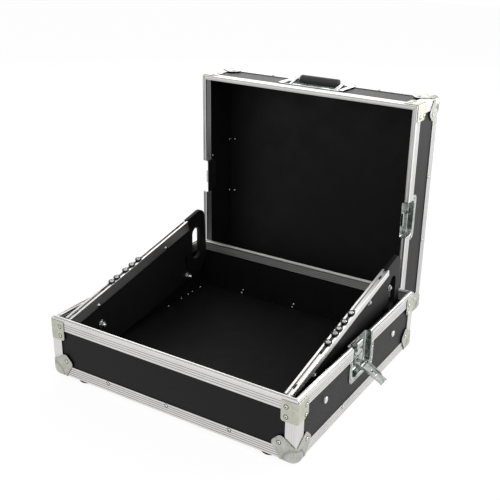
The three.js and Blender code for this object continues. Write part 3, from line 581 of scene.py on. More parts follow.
def plated_zinc(name, bright, dull, rough_low, rough_high, cloud_scale=55, crease_shade=False):
    """Galvanised pressings: a faint spangle, clouding and small scratches, and for the ball corners
    a painted shade in the crease round the dome.
    """
    n = Look(name, Metallic=1.0)
    place = n.place()
    clouds = n.noise(place, cloud_scale, 4, 0.6)
    cells = n.node("ShaderNodeTexVoronoi", {"Vector": place, "Scale": 420.0})
    spangle = n.node("ShaderNodeSeparateColor", {0: cells.outputs["Color"]}).outputs[0]
    scratches = n.streaks(place, (260, 1900, 700), 2, 0.4)
    tone = n.mix(n.ramp(clouds, 0.3, 0.7, 0, 1), dull, bright)
    tone = n.mix(n.ramp(spangle, 0, 1, 0, 0.16), tone, grey(0.82))
    if crease_shade:
        # Painted shade: the crease round the ball's dome darkened by the weight that ball_mesh
        # stores.
        painted_shade = n.node("ShaderNodeAttribute", attribute_name="painted_shade").outputs["Fac"]
        tone = n.mix(n.maths("MULTIPLY", painted_shade, 0.5), tone, (0.10, 0.10, 0.09, 1))
    height = n.plus(clouds, 0.5, scratches)
    rough = n.ramp(height, 0.4, 1.1, rough_low, rough_high)
    return n.shade(Base_Color=tone, Roughness=rough, Normal=n.bump(height, 0.2, 0.00015))


def chrome():
    n = Look("chrome_plate", Metallic=1.0)
    place = n.place()
    smears = n.noise(place, 40, 4, 0.6)
    hairs = n.streaks(place, (1500, 220, 500), 2)
    dull, bright = (0.34, 0.36, 0.36, 1), (0.72, 0.73, 0.73, 1)
    return n.shade(
        Base_Color=n.mix(n.ramp(smears, 0.35, 0.65, 0, 1), dull, bright),
        Roughness=n.ramp(smears, 0.3, 0.75, 0.08, 0.22),
        Normal=n.bump(n.plus(smears, 0.2, hairs), 0.2, 0.0002),
    )


def board(name, tray, height):
    """Plywood in pebbled black laminate outside and plain dark foil inside."""
    n = Look(name, Specular_IOR_Level=0.2)
    place = n.place()
    inputs = {0: place, 1: tuple(tray @ Vector((0, 0, height / 2)))}
    outward = n.node("ShaderNodeVectorMath", inputs, operation="SUBTRACT").outputs[0]
    inputs = {0: outward, 1: n.place("Normal")}
    facing_out = n.node("ShaderNodeVectorMath", inputs, operation="DOT_PRODUCT").outputs["Value"]
    outside = n.maths("GREATER_THAN", facing_out, 0.0)
    pebble = n.node("ShaderNodeTexVoronoi", {"Vector": place, "Scale": 620.0}).outputs["Distance"]
    fine = n.noise(place, 2400, 2)
    cloud = n.noise(place, 22, 4, 0.6)
    dust = n.ramp(n.noise(place, 900, 2, 0.7), 0.66, 0.8, 0, 0.35)
    scuffs = n.ramp(n.streaks(place, (14, 160, 60), 3, 0.6), 0.63, 0.76, 0, 0.2)
    laminate = n.mix(cloud, (0.0022, 0.0015, 0.0016, 1), (0.0046, 0.0036, 0.0038, 1))
    laminate = n.mix(scuffs, laminate, grey(0.022))
    foil = n.mix(cloud, grey(0.0010), grey(0.0024))
    foil = n.mix(dust, foil, grey(0.012))
    rough_out = n.ramp(pebble, 0, 0.7, 0.34, 0.5)
    rough_in = n.ramp(cloud, 0.3, 0.7, 0.55, 0.72)
    height = n.blend(outside, n.maths("MULTIPLY", fine, 0.5), n.maths("ADD", pebble, fine))
    return n.shade(
        Base_Color=n.mix(outside, foil, laminate),
        Roughness=n.blend(outside, rough_in, rough_out),
        Normal=n.bump(height, 0.45, 0.00022),
    )


def painted_board():
    """The cheeks: black paint rolled on plywood, worn a little."""
    n = Look("painted_board", Specular_IOR_Level=0.14)
    place = n.place()
    roller = n.noise(place, 520, 3, 0.6)
    cloud = n.noise(place, 30, 3, 0.6)
    grain = n.streaks(place, (900, 22, 520), 3)
    tone = n.mix(cloud, grey(0.0045), grey(0.0085))
    tone = n.mix(n.ramp(grain, 0.62, 0.8, 0, 0.25), tone, grey(0.018))
    return n.shade(
        Base_Color=tone,
        Roughness=n.ramp(roller, 0.3, 0.7, 0.42, 0.58),
        Normal=n.bump(n.plus(roller, 0.4, grain), 0.4, 0.00015),
    )


def black_steel():
    n = Look("black_steel", Metallic=0.35, Specular_IOR_Level=0.5)
    place = n.place()
    mottle = n.noise(place, 300, 3)
    rub = n.ramp(n.noise(place, 90, 4, 0.7), 0.62, 0.75, 0, 0.4)
    return n.shade(
        Base_Color=n.mix(rub, n.mix(mottle, grey(0.009), grey(0.016)), grey(0.06)),
        Roughness=n.ramp(mottle, 0.3, 0.7, 0.3, 0.45),
        Normal=n.bump(mottle, 0.25, 0.0001),
    )


def black_rubber(name, specular, low, high):
    n = Look(name, Specular_IOR_Level=specular)
    place = n.place()
    grain = n.noise(place, 1500, 3, 0.6)
    cloud = n.noise(place, 60, 3)
    return n.shade(
        Base_Color=n.mix(cloud, grey(low), grey(high)),
        Roughness=n.ramp(cloud, 0.3, 0.7, 0.42, 0.58),
        Normal=n.bump(grain, 0.5, 0.00012),
    )


def dark_hole():
    """Near black for the bore of a rivet, with its broken steel stem, and for the rail's slots:
    painted shade of a hole.
    """
    n = Look("painted_hole_shade", Metallic=0.1, Specular_IOR_Level=0.15)
    speck = n.noise(n.place(), 2600, 2)
    rough = n.ramp(speck, 0.3, 0.7, 0.5, 0.8)
    return n.shade(Base_Color=n.mix(speck, grey(0.008), grey(0.03)), Roughness=rough)


ALUMINIUM = drawn_aluminium(
    "drawn_aluminium", grey(0.60, 0.01), grey(0.80, 0.01), (0.52, 0.53, 0.53, 1)
)
# Darker aluminium: dirt and painted shade in the grooves, and painted shade along the rounded lower
# edge of the edge angles.
DIRT_AND_SHADE_ALUMINIUM = drawn_aluminium("aluminium_dirt_and_painted_shade", grey(0.26, 0.03), grey(0.38, 0.03), grey(0.2, 0.04))
# Darker aluminium for the flat tops of the rims: painted shade.
SHADED_RIM_TOP_ALUMINIUM = drawn_aluminium(
    "rim_top_painted_shade", grey(0.40, 0.01), grey(0.52, 0.01), grey(0.36)
)
ZINC = plated_zinc("zinc_plate", (0.56, 0.57, 0.47, 1), (0.42, 0.43, 0.35, 1), 0.32, 0.5)
BALL_ZINC = plated_zinc(
    "ball_zinc", (0.50, 0.51, 0.46, 1), (0.33, 0.34, 0.30, 1), 0.22, 0.4, crease_shade=True
)
LATCH_ZINC = plated_zinc(
    "latch_zinc", (0.52, 0.55, 0.53, 1), (0.22, 0.24, 0.23, 1), 0.1, 0.24, 75
)
RIVET_ZINC = plated_zinc("rivet_zinc", (0.82, 0.83, 0.80, 1), (0.60, 0.61, 0.58, 1), 0.14, 0.26)
CHROME = chrome()
BOARDS = {
    "base": board("base_board", BASE, BASE_HEIGHT), "lid": board("lid_board", LID, LID_HEIGHT),
}
CHEEK_BOARD = painted_board()
BLACK_STEEL = black_steel()
RUBBER = black_rubber("black_rubber", 0.42, 0.026, 0.040)
FOOT_RUBBER = black_rubber("foot_rubber", 0.06, 0.003, 0.006)
SHADED_HOLE = dark_hole()
SLOTS = {
    "edge_aluminium": [ALUMINIUM],
    "zinc_plate": [ZINC, BALL_ZINC, LATCH_ZINC, RIVET_ZINC],
    "black_rubber": [RUBBER, FOOT_RUBBER],
    "black_steel": [BLACK_STEEL],
    "painted_board": [CHEEK_BOARD],
    "chrome_plate": [CHROME],
}

# Rivets: one mesh a tray, and the radii of their heads

RIVETS = {"base": bmesh.new(), "lid": bmesh.new()}
CORNER_RIVET = 3.3
EDGE_RIVET = 2.9
DISH_RIVET = 2.6
HANDLE_RIVET = 2.4
INSIDE_RIVET = 2.2


def rivet(bm, point, normal, r):
    """A blind rivet: a domed head round the bore that its stem left, in a dark ring of painted
    shade round the head.
    """
    head = [
        (0.42, 0.12), (0.42, 0.44), (0.48, 0.52), (0.64, 0.50), (0.82, 0.36), (0.96, 0.16),
        (1.0, 0), (0.96, -0.12), (0.42, -0.12),
    ]
    bore = [(0, -0.1), (0.42, -0.1), (0.42, 0.1), (0, 0.14)]
    # A dark ring round the head: painted shade where the head meets the skin.
    painted_shade = [(0.95, -0.1), (0.95, 0.12), (1.3, 0.05), (1.38, -0.02), (1.3, -0.1)]
    place = facing(point, normal)
    ring(bm, [(a * r, b * r * 0.8) for a, b in head], place, 20)
    # The bore: near black, the stem in painted shade.
    lathe(bm, [(a * r, b * r) for a, b in bore], place, 12, 1)
    ring(bm, [(a * r, b * r) for a, b in painted_shade], place, 20, 1)


def rivets(tray, points, normal, radius, at=IDENTITY):
    """Rivets on one face of a tray."""
    normal = at.to_3x3() @ Vector(normal)
    for point in points:
        rivet(RIVETS[tray], at @ Vector(point), normal, radius)


# Trays: the parts that the base and the lid have alike


def groove_faces(profile, levels):
    """The numbers of a profile's sides that touch one of the levels at a groove's bottom, which get
    the tone of dirt and painted shade.
    """
    ends = zip(profile, profile[1:] + profile[:1])
    return {
        index: DIRT_AND_SHADE_TONE for index, (a, b) in enumerate(ends)
        if any(abs(value - level) < 1e-6 for value in (*a, *b) for level in levels)
    }


def groove(middle, wide, narrow):
    """A groove as (along, deep) points, from its first edge to its last."""
    return [
        (middle - wide, 0), (middle - narrow, RIB_DEPTH), (middle + narrow, RIB_DEPTH),
        (middle + wide, 0),
    ]


def angle_profile():
    """The edge angle: two legs with ribs outside. Points are (in from one face, from the other)."""
    leg = [(LEG - 0.35, 0)]
    for middle in (17.8, 13.6, 9.4, 5.2):
        leg += groove(middle, -0.8, -0.55)
    corner = [(1.8, 0), (1.1, 0.14), (EDGE_BEND, EDGE_BEND), (0.14, 1.1), (0, 1.8)]
    other = [(b, a) for a, b in reversed(leg)]
    tip = [(0.1, LEG), (SKIN - 0.1, LEG), (SKIN, LEG - 0.3)]
    inside = [(SKIN, SKIN + 0.5), (SKIN + 0.15, SKIN + 0.15), (SKIN + 0.5, SKIN)]
    end = [(LEG - 0.3, SKIN), (LEG, SKIN - 0.1), (LEG, 0.1)]
    return leg + corner + other + tip + inside + end


def rim_profile(height, tongue):
    """The rim: a channel over the board with a tongue or a groove on its web."""
    middle = RIM_WIDTH / 2
    face = [(0, height - LEG + 0.2)]
    for below in (17, 12.6, 8.2):
        face += [(deep, z) for z, deep in groove(height - below, 0.65, 0.4)]
    face += [(0, height - 0.9), (0.26, height - 0.26), (0.9, height)]
    if tongue:
        half, top = TONGUE_WIDTH / 2, height + TONGUE_HEIGHT
        web = [(half + 0.3, height), (half, height + 0.3), (half, top - 0.4), (half - 0.4, top)]
    else:
        half, low = GROOVE_WIDTH / 2, height - GROOVE_DEPTH
        web = [(half + 0.3, height), (half, height - 0.3), (half, low)]
    web = [(middle - a, z) for a, z in web] + [(middle + a, z) for a, z in reversed(web)]
    inner = RIM_WIDTH - RIM_INNER_SKIN
    back = [
        (RIM_WIDTH - 0.9, height), (RIM_WIDTH - 0.26, height - 0.26), (RIM_WIDTH, height - 0.9),
    ]
    for below in (5, 9, 13, 17):
        back += [(RIM_WIDTH - deep, z) for z, deep in groove(height - below, -0.7, -0.4)]
    low = height - RIM_INNER_LEG
    under = [
        (RIM_WIDTH, low + 0.2), (RIM_WIDTH - 0.2, low), (inner + 0.2, low), (inner, low + 0.2),
        (inner, height - RIM_WEB), (SKIN, height - RIM_WEB), (SKIN, height - LEG + 0.2),
        (SKIN - 0.2, height - LEG), (0.2, height - LEG),
    ]
    return face + web + back + under


def along_side(sign_x, sign_y, across):
    """A place whose x runs in from a tray corner along one side, y in from its outer face."""
    at = moved(sign_x * HALF_WIDTH, sign_y * HALF_DEPTH, 0)
    scale = Matrix.Diagonal((-sign_x, -sign_y, 1, 1))
    return at @ scale @ (IDENTITY if across else axes(REAR, RIGHT, UP))


def tray_corners(tray):
    """The name and the two signs of each corner of a tray."""
    for side, sign_x in (("right", 1), ("left", -1)):
        for end, sign_y in ENDS[tray].items():
            yield f"{end}_{side}", sign_x, sign_y


def edge_bars(tray):
    """The four angles round the closed side, mitred for the posts."""
    bm = bmesh.new()
    profile = angle_profile()
    # The sides at the rounded outer corner get the dark tone too: a painted shade line along the
    # lower edge.
    tones = groove_faces(profile, [RIB_DEPTH, EDGE_BEND])

    def start(d, z):
        return max(UNDER_BALL, z, d) + SEAM / 2

    for across, length in ((True, 2 * HALF_WIDTH), (False, 2 * HALF_DEPTH)):
        for sign in (-1, 1):
            at = along_side(*((-1, sign) if across else (sign, -1)), across)
            bar(bm, profile, start, lambda d, z: length - start(d, z), at, tones)
    finish(f"{tray}_edge_bars", bm, tray, [ALUMINIUM, DIRT_AND_SHADE_ALUMINIUM], f"{tray}_edge_frame")


def rim_bars(tray):
    """Each end bar of the rim with the two half side bars that run from it to the dishes."""
    height = HEIGHTS[tray]
    profile = rim_profile(height, tray == "base")
    tones = groove_faces(profile, [RIB_DEPTH])
    # The flat top faces of the rim get a darker tone: painted shade.
    for index, (a, b) in enumerate(zip(profile, profile[1:])):
        if a[1] == b[1] == height:
            tones[index] = RIM_TOP_SHADE_TONE

    def start(d, z):
        return d + MITRE_GAP

    metals = [ALUMINIUM, DIRT_AND_SHADE_ALUMINIUM, SHADED_RIM_TOP_ALUMINIUM]
    for end, sign in ENDS[tray].items():
        bm = bmesh.new()
        at = along_side(-1, sign, True)
        bar(bm, profile, start, lambda d, z: 2 * HALF_WIDTH - start(d, z), at, tones)
        for side in (-1, 1):
            at = along_side(side, sign, False)
            bar(bm, profile, start, lambda d, z: HALF_DEPTH - NOTCH_HALF, at, tones)
        finish(f"{tray}_rim_bars_{end}", bm, tray, metals, f"{tray}_rim_{end}")


def corner_post(bm, height, at):
    """The upright angle, cut to a point between the two lower angles."""
    profile = [(x - SEAM - 0.1, y - SEAM - 0.1) for x, y in angle_profile()]
    bar(
        bm, profile, lambda x, y: max(UNDER_BALL, x, y) + SEAM, lambda x, y: height - LEG - SEAM,
        at @ axes(UP, RIGHT, REAR),
    )


def soft_min(a, b, blend):
    """The lower of two distances, with a smooth passage where they are close."""
    share = max(blend - abs(a - b), 0.0) / blend
    return min(a, b) - share * share * blend / 4


def corner_distance(point):
    """How far a point is outside the corner pressing's outer face."""
    out = [CORNER_EDGE - CORNER_PROUD - c for c in point]
    result = Vector([max(c, 0.0) for c in out]).length + min(max(out), 0.0) - CORNER_EDGE
    blunt = math.sqrt(3) * BALL_INSET - BALL_RADIUS - sum(point) / math.sqrt(3)
    result = -soft_min(-result, -blunt, BLUNT_BLEND)
    for inset, radius in ((DOME_INSET, DOME_RADIUS), (BALL_INSET, BALL_RADIUS)):
        shell = (Vector(point) - Vector((inset, inset, inset))).length - radius
        result = soft_min(result, shell, CORNER_BLEND)
    return result


LOBE = rounded([
    (30.4, 0), (30.4, 3.4, 3.6), (41.5, 20.5, 14), (48.0, 29.5, 8.5), (29.5, 48.0, 8.5),
    (20.5, 41.5, 14), (3.4, 30.4, 3.6), (0, 30.4),
], 7)[:-1]
LOBE_RIVET = 31.5
CREASE_REACH = 24.6


def ball_mesh():
    """The ball corner: a sheet over the three faces, drawn out to the dome, then thickened."""
    eye = Vector((40, 40, 40))
    outline = []
    corners = LOBE + [(0, 30.4)]
    for a, b in zip(corners, corners[1:]):
        parts = max(1, round(math.dist(a, b) / 3.5))
        outline += [tuple(Vector(a).lerp(Vector(b), k / parts)) for k in range(parts)]
    outline.append(corners[-1])
    shares = [
        0, 0.04, 0.08, 0.12, 0.16, 0.2, 0.25, 0.3, 0.34, 0.38, 0.41, 0.44, 0.47, 0.5, 0.54, 0.6,
        0.66, 0.71, 0.75, 0.79, 0.83, 0.88, 0.95, 0.99, 1.0,
    ]
    bm = bmesh.new()
    for turn in range(3):
        points, faces = [], []
        for share in shares:
            for x, y in outline:
                flat = [x * share, y * share, 0.0]
                flat = flat[-turn:] + flat[:-turn]
                base = Vector(flat)
                ray = (base - eye).normalized()
                low, high = -12.0, 14.0
                for _ in range(22):
                    middle = (low + high) / 2
                    if corner_distance(base + ray * middle) < 0:
                        low = middle
                    else:
                        high = middle
                reach = math.hypot(x * share, y * share)
                crease = 0.75 * math.exp(-(((reach - CREASE_REACH) / 1.7) ** 2))
                ends = 0.5 if share == 1.0 else (0.1 if share == 0.99 else 0.0)
                points.append(base + ray * (low - crease - ends))
        count = len(outline)
        for row in range(len(shares) - 1):
            for i in range(count - 1):
                a = row * count + i
                faces.append((a, a + 1, a + count + 1, a + count))
        add(bm, points, faces)
    bmesh.ops.remove_doubles(bm, verts=bm.verts, dist=0.01)
    bmesh.ops.dissolve_degenerate(bm, edges=bm.edges, dist=0.005)
    # A weight for painted shade, highest along the crease round the dome.
    painted_shade = bm.verts.layers.float.new("painted_shade")
    for vert in bm.verts:
        reach = math.hypot(*sorted(vert.co)[1:])
        vert[painted_shade] = math.exp(-(((reach - CREASE_REACH + 0.6) / 2.1) ** 2))
    return bm


def corner_brace(bm, height, at):
    """A bent plate over the rim's corner and the post, drawn flat and folded at the corner."""
    top = height - BRACE_BELOW_RIM
    low = top - BRACE_HEIGHT
    sheet = bmesh.new()
    outline = rounded([
        (-BRACE_FRONT, low, 5), (22, low, 6), (BRACE_SIDE, low + 6, 4),
        (BRACE_SIDE, top, 1.2), (-BRACE_FRONT, top, 1.2),
    ], 5)
    plate(sheet, outline, SEAM, SEAM + BRACE_SKIN, 0.4)
    for u in [BRACE_BEND * k / 3 for k in range(-3, 4)] + [-8, 8]:
        everything = sheet.verts[:] + sheet.edges[:] + sheet.faces[:]
        bmesh.ops.bisect_plane(
            sheet, geom=everything, plane_co=(u, 0, 0), plane_no=RIGHT, dist=1e-5
        )
    for vert in sheet.verts:
        u, z, out = vert.co
        if u <= -BRACE_BEND:
            vert.co = (-u, -out, z)
        elif u >= BRACE_BEND:
            vert.co = (-out, u, z)
        else:
            turn = (u + BRACE_BEND) / (2 * BRACE_BEND) * math.pi / 2
            arm = BRACE_BEND + out
            vert.co = (BRACE_BEND - arm * math.sin(turn), BRACE_BEND - arm * math.cos(turn), z)
    sheet.transform(at)
    take(bm, sheet)


THICKEN = ("SOLIDIFY", {"thickness": CORNER_SKIN * MILLIMETRE, "offset": -1.0})


def corners(tray):
    """Posts, ball corners and braces of one tray, with their rivets."""
    height = HEIGHTS[tray]
    for name, sign_x, sign_y in tray_corners(tray):
        at = along_side(sign_x, sign_y, True)
        bm = bmesh.new()
        corner_post(bm, height, at)
        finish(f"{tray}_post_{name}", bm, tray, [ALUMINIUM], f"{tray}_corner_{name}")
        bm = ball_mesh()
        bm.transform(at)
        finish(f"{tray}_ball_{name}", bm, tray, [BALL_ZINC], modifiers=[THICKEN])
        bm = bmesh.new()
        corner_brace(bm, height, at)
        finish(f"{tray}_brace_{name}", bm, tray, [ZINC])
        out, brace = -BRACE_SKIN - SEAM, at @ moved(0, 0, height - BASE_HEIGHT)
        rivets(tray, [(20.5, out, 101.5), (20.5, out, 83)], FRONT, CORNER_RIVET, brace)
        rivets(tray, [(out, 26, 98.7), (out, 25, 81)], LEFT, CORNER_RIVET, brace)
        p, out = LOBE_RIVET, -CORNER_PROUD
        for point, normal in (((p, out, p), FRONT), ((out, p, p), LEFT), ((p, p, out), DOWN)):
            rivets(tray, [point], normal, CORNER_RIVET, at)


# Latches


def dish_path(grow, top, low):
    """The open path of a dish's recess seen from its side: down, along the bottom and up."""
    half = DISH_HALF + grow
    radius = DISH_ROUNDING - DISH_SKIN + grow
    z, turn = low - grow + radius, math.pi / 2
    left = arc(radius - half, z, radius, 2 * turn, 3 * turn, 10)
    right = arc(half - radius, z, radius, 3 * turn, 4 * turn, 10)
    return [(-half, top), *left, *right, (half, top)]


def pressed_dish(bm, height, dish_height):
    """A pan with rounded walls and a flange on the board, open at the rim. Drawn as (y, z, x)."""
    low = height - dish_height
    recess_low = low + DISH_BAND
    top = height
    face, back, skin = DISH_FACE, DISH_BACK, DISH_SKIN
    wall = [
        (1.2, face), (0.5, face - 0.15), (0.12, face - 0.6), (0, face - 1.3), (0, back + 2.2),
        (-0.3, back + 1.1), (-1.1, back + 0.3), (-2.2, back), (-2.2, back - skin),
        (-0.8, back - skin + 0.1), (0.6, back - 0.1), (1.2, back + 1.6), (1.2, face - 1.2),
    ]
    frames = outline_frames(dish_path(0, top, recess_low), False)
    sweep(bm, frames, wall, ON_X)
    plate(bm, dish_path(-2.0, top, recess_low), back - skin, back, 0.15, (), ON_X)
    flange_top = height - LEG - SEAM
    inner = dish_path(1.1, flange_top, recess_low)
    outer = rounded([
        (-DISH_FLANGE_HALF, flange_top), (-DISH_FLANGE_HALF, low, DISH_ROUNDING),
        (DISH_FLANGE_HALF, low, DISH_ROUNDING), (DISH_FLANGE_HALF, flange_top),
    ])
    plate(bm, outer + inner[::-1], face - skin, face, 0.4, (), ON_X)


DISH_RIVETS = [
    (-43.4, 84), (-43.4, 60), (-41.5, 51.5), (-22, 50.5), (22, 50.5), (41.5, 51.5), (43.4, 60),
    (43.4, 84),
]


def latch(side):
    """The dish with its post, the rotor with its eccentric, the hook and its strap."""
    bm = bmesh.new()
    pressed_dish(bm, BASE_HEIGHT, BASE_DISH)
    rise = ROTOR_FACE - DISH_BACK
    post = [
        (0, 0), (2.7, 0), (2.7, rise + SEAM), (4.6, rise + SEAM), (5, rise + 0.7),
        (4.6, rise + 1.3), (3, rise + 1.8), (1.4, rise + 1.7), (1.1, rise + 1.2), (0, rise + 1.2),
    ]
    lathe(bm, post, facing((DISH_BACK, 0, ROTOR_Z), RIGHT))
    sided("dish", side, bm, "base", [LATCH_ZINC], "latch_dish")

    bm = bmesh.new()
    hole = circle(0, ROTOR_Z, 3.0)
    windows = []
    for angle in (math.radians(35), math.radians(145)):
        y, z = 10.5 * math.cos(angle), 10.5 * math.sin(angle)
        windows.append(circle(y, ROTOR_Z + z, 2.4, 20))
    disc = circle(0, ROTOR_Z, ROTOR_RADIUS, 56)
    plate(bm, disc, ROTOR_X, ROTOR_FACE, 0.7, [hole, *windows], ON_X)
    eccentric = circle(0, STRAP_Z, ECCENTRIC_RADIUS, 40)
    plate(bm, eccentric, HOOK_X, ROTOR_X + 0.3, 0.2, [hole], ON_X)
    low, high, root, tip = PIN_Z - KNUCKLE, PIN_Z + KNUCKLE, ROTOR_FACE - 0.8, PIN_X + KNUCKLE
    nose = KNUCKLE * 0.98
    lug = rounded([(root, low), (tip, low, nose), (tip, high, nose), (root, high)])
    for inner in (8.3, -10.5):
        plate(bm, lug, inner, inner + 2.2, 0.4, (), ON_Y)
    pin = mirrored([(0, -13.4), (1.5, -13.4), (2.1, -13), (2.1, -12.4), (PIN_RADIUS, -12.3)])
    lathe(bm, pin, facing((PIN_X, 0, PIN_Z), REAR), 24)
    sided("rotor_plate", side, bm, f"rotor_{side}", [LATCH_ZINC], "latch_rotor")

    bm = bmesh.new()
    strap, hole = (circle(0, STRAP_Z, *size) for size in ((STRAP_RADIUS, 48), (STRAP_HOLE, 40)))
    plate(bm, strap, HOOK_X, HOOK_X + HOOK_SKIN, 0.4, [hole], ON_X)
    step, top = ROTOR_Z + ROTOR_RADIUS + 0.6, BASE_HEIGHT - 4
    face = HOOK_X + HOOK_SKIN
    neck = rounded([
        (HOOK_X, STRAP_Z + 10), (face, STRAP_Z + 10), (face, step, 1.2), (face + 5, step, 2.4),
        (face + 5, top, 2.6), (DISH_BACK + 1.5, top, 0.8), (DISH_BACK + 1.5, top - HOOK_SKIN, 0.6),
        (HOOK_X + 5, top - HOOK_SKIN, 0.8), (HOOK_X + 5, step + HOOK_SKIN, 0.8),
        (HOOK_X, step + HOOK_SKIN, 2.4),
    ], 5)
    plate(bm, neck, -11, 11, 0.6, (), ON_Y)
    sided("hook_plate", side, bm, f"hook_{side}", [LATCH_ZINC], "latch_hook")


def wing(side):
    """The butterfly wing, drawn along X from its pin with its flanges up."""
    bm = bmesh.new()
    root = KNUCKLE + 0.6
    tip = WING_TIP_HALF
    plan = rounded([
        (root, -WING_ROOT_HALF), (WING_LENGTH - 6, -tip - 0.5, 5), (WING_LENGTH, -tip - 1.5, 1.2),
        (WING_LENGTH, tip + 1.5, 1.2), (WING_LENGTH - 6, tip + 0.5, 5), (root, WING_ROOT_HALF),
    ])
    middle = 23.5
    oval = box_outline(middle - 5, -3, middle + 5, 3, 2.9)
    low = WING_LIFT - WING_SKIN / 2
    high = WING_LIFT + WING_SKIN / 2
    plate(bm, plan, low, high, 0.45, [oval])
    swage = [(1.9, 0.1), (1.5, 0.75), (0.6, 1.05), (0, 0.75), (-0.2, 0.1)]
    frames = outline_frames(box_outline(middle - 5.6, -3.6, middle + 5.6, 3.6, 3.5), True)
    sweep(bm, frames, [(a - 0.2, b + high - 0.2) for a, b in swage], closed=True)
    rise = WING_LIFT + 3.4
    nose = KNUCKLE * 0.96
    side_view = rounded([
        (-KNUCKLE, -KNUCKLE, nose), (root, -KNUCKLE, 1.5), (root + KNUCKLE, low),
        (WING_FLANGE, low), (WING_FLANGE, high + 0.3, 0.6), (WING_FLANGE - 3, rise, 2.5),
        (root, rise, 1.5), (-KNUCKLE, KNUCKLE, nose),
    ], 6)
    taper = math.atan2(WING_ROOT_HALF - tip, WING_LENGTH - root)
    for sign in (-1, 1):
        flange = bmesh.new()
        edge = sign * (WING_ROOT_HALF - 0.1)
        ends = sorted((edge, edge - sign * 1.2))
        plate(flange, side_view, *ends, 0.35, [circle(0, 0, PIN_RADIUS + SEAM, 20)], ON_Y)
        turn = Matrix.Rotation(-sign * taper, 4, "Z")
        flange.transform(moved(root, edge, 0) @ turn @ moved(-root, -edge, 0))
        take(bm, flange)
    bm.transform(moved(PIN_X, 0, PIN_Z) @ Matrix.Rotation(WING_DROOP, 4, "Y"))
    sided("wing_plate", side, bm, f"wing_{side}", [LATCH_ZINC], "latch_wing")


def catch(side):
    """The lid's shorter dish with the keeper that the claw pulls on."""
    bm = bmesh.new()
    pressed_dish(bm, LID_HEIGHT, LID_DISH)
    top = LID_HEIGHT - 1
    root, foot, lip = DISH_BACK - 0.6, DISH_BACK + 1.5, HOOK_X + 5 - 0.6
    keeper = rounded([
        (root, top - 20), (foot, top - 20), (foot, top - 1.5, 0.6), (lip - 1.5, top - 1.5, 0.6),
        (lip - 1.5, top - 3.5), (lip, top - 3.5), (lip, top, 1.4), (root, top),
    ], 5)
    plate(bm, keeper, -14, 14, 0.35, (), ON_Y)
    sided("catch", side, bm, "lid", [LATCH_ZINC], "catch_dish")


# Base


def feet():
    low = -FOOT_HEIGHT
    profile = [
        (0, low + 4), (2.6, low + 4), (2.9, low + 3.7), (3.2, low + 0.5), (3.9, low), (14.4, low),
        (15.6, low + 0.3), (16.3, low + 1.1), (16.5, low + 2.4), (16.1, low + 3.6),
        (14.2, low + 5.2), (12.4, -2.0), (FOOT_RADIUS, -SEAM - 0.6), (FOOT_RADIUS - 0.3, -SEAM),
        (0, -SEAM),
    ]
    screw = [(0, low + 1.9), (1.7, low + 2.1), (2.4, low + 2.8), (2.4, low + 4), (0, low + 4)]
    x, y = HALF_WIDTH - FOOT_FROM_SIDE, HALF_DEPTH - FOOT_FROM_FRONT
    for name, sign_x, sign_y in tray_corners("base"):
        bm = bmesh.new()
        at = moved(sign_x * x, sign_y * y, 0)
        lathe(bm, profile, at, 40)
        lathe(bm, screw, at, 16, 1)
        materials = [FOOT_RUBBER, LATCH_ZINC]
        finish(f"foot_{name}", bm, "base", materials, f"rubber_foot_{name}")


def frame_bolts(side):
    """Coach bolts through the wall, tubes between wall and cheek, and flanged nuts."""
    start = NUT_X - 4.5
    under = BOARD_X + SEAM - start
    r = BOLT_RADIUS
    bolt = [(0, 0), (r - 0.6, 0)]
    for k in range(10):
        bolt += [(r, 0.6 + k), (r - 0.45, 1.1 + k)]
    bolt += [
        (r, under - 6), (r, under), (5.9, under), (6.3, under + 0.4), (6.1, under + 1.0),
        (6.1, under + 2.1), (4.6, under + 3.0), (2.4, under + 3.5), (0, under + 3.6),
    ]
    low = CHEEK_X + CHEEK_THICKNESS + SEAM
    length = HALF_WIDTH - WALL_INSIDE - SEAM - low
    tube = [
        (3.3, 0.3), (3.6, 0), (6.6, 0), (7, 0.4), (7, length - 0.4), (6.6, length), (3.6, length),
        (3.3, length - 0.3),
    ]
    flange = [(3.3, 0), (8.2, 0), (8.8, 0.3), (9, 0.8), (9, 1.5), (3.3, 1.5)]
    for name, (y, z) in BOLTS.items():
        bm = bmesh.new()
        lathe(bm, bolt, facing((start, y, z), RIGHT), 36)
        sided(f"{name}_coach_bolt", side, bm, "base", [RIVET_ZINC], f"{name}_bolt")
        bm = bmesh.new()
        ring(bm, tube, facing((low, y, z), RIGHT), 32)
        sided(f"{name}_tube", side, bm, "base", [BLACK_STEEL], f"{name}_spacer")
        bm = bmesh.new()
        hole = circle(y, z, r + 0.2, 24)
        plate(bm, hexagon(y, z, 5.8, 0.5), NUT_X, NUT_X + 5.2, 0.7, [hole], ON_X)
        ring(bm, flange, facing((NUT_X + 5, y, z), RIGHT), 36)
        sided(f"{name}_flange_nut", side, bm, "base", [LATCH_ZINC], f"{name}_nut")


# Tilting frame


def lock_slot():
    """The curved slot round the rear bolt, an arc about the front bolt."""
    pivot, lock = Vector(BOLTS["pivot"]), Vector(BOLTS["lock"])
    arm = lock - pivot
    start = math.atan2(arm.y, arm.x)
    half = BOLT_RADIUS + SEAM
    end = start + CHEEK_TILT
    end_centre = pivot + arm.length * Vector((math.cos(end), math.sin(end)))
    return (
        arc(*pivot, arm.length + half, start, end - 0.001, 14)
        + arc(*end_centre, half, end + 0.05, end + math.pi - 0.05, 8)
        + arc(*pivot, arm.length - half, end - 0.001, start, 14)
        + arc(*lock, half, start + math.pi + 0.05, start + 2 * math.pi - 0.05, 8)
    )


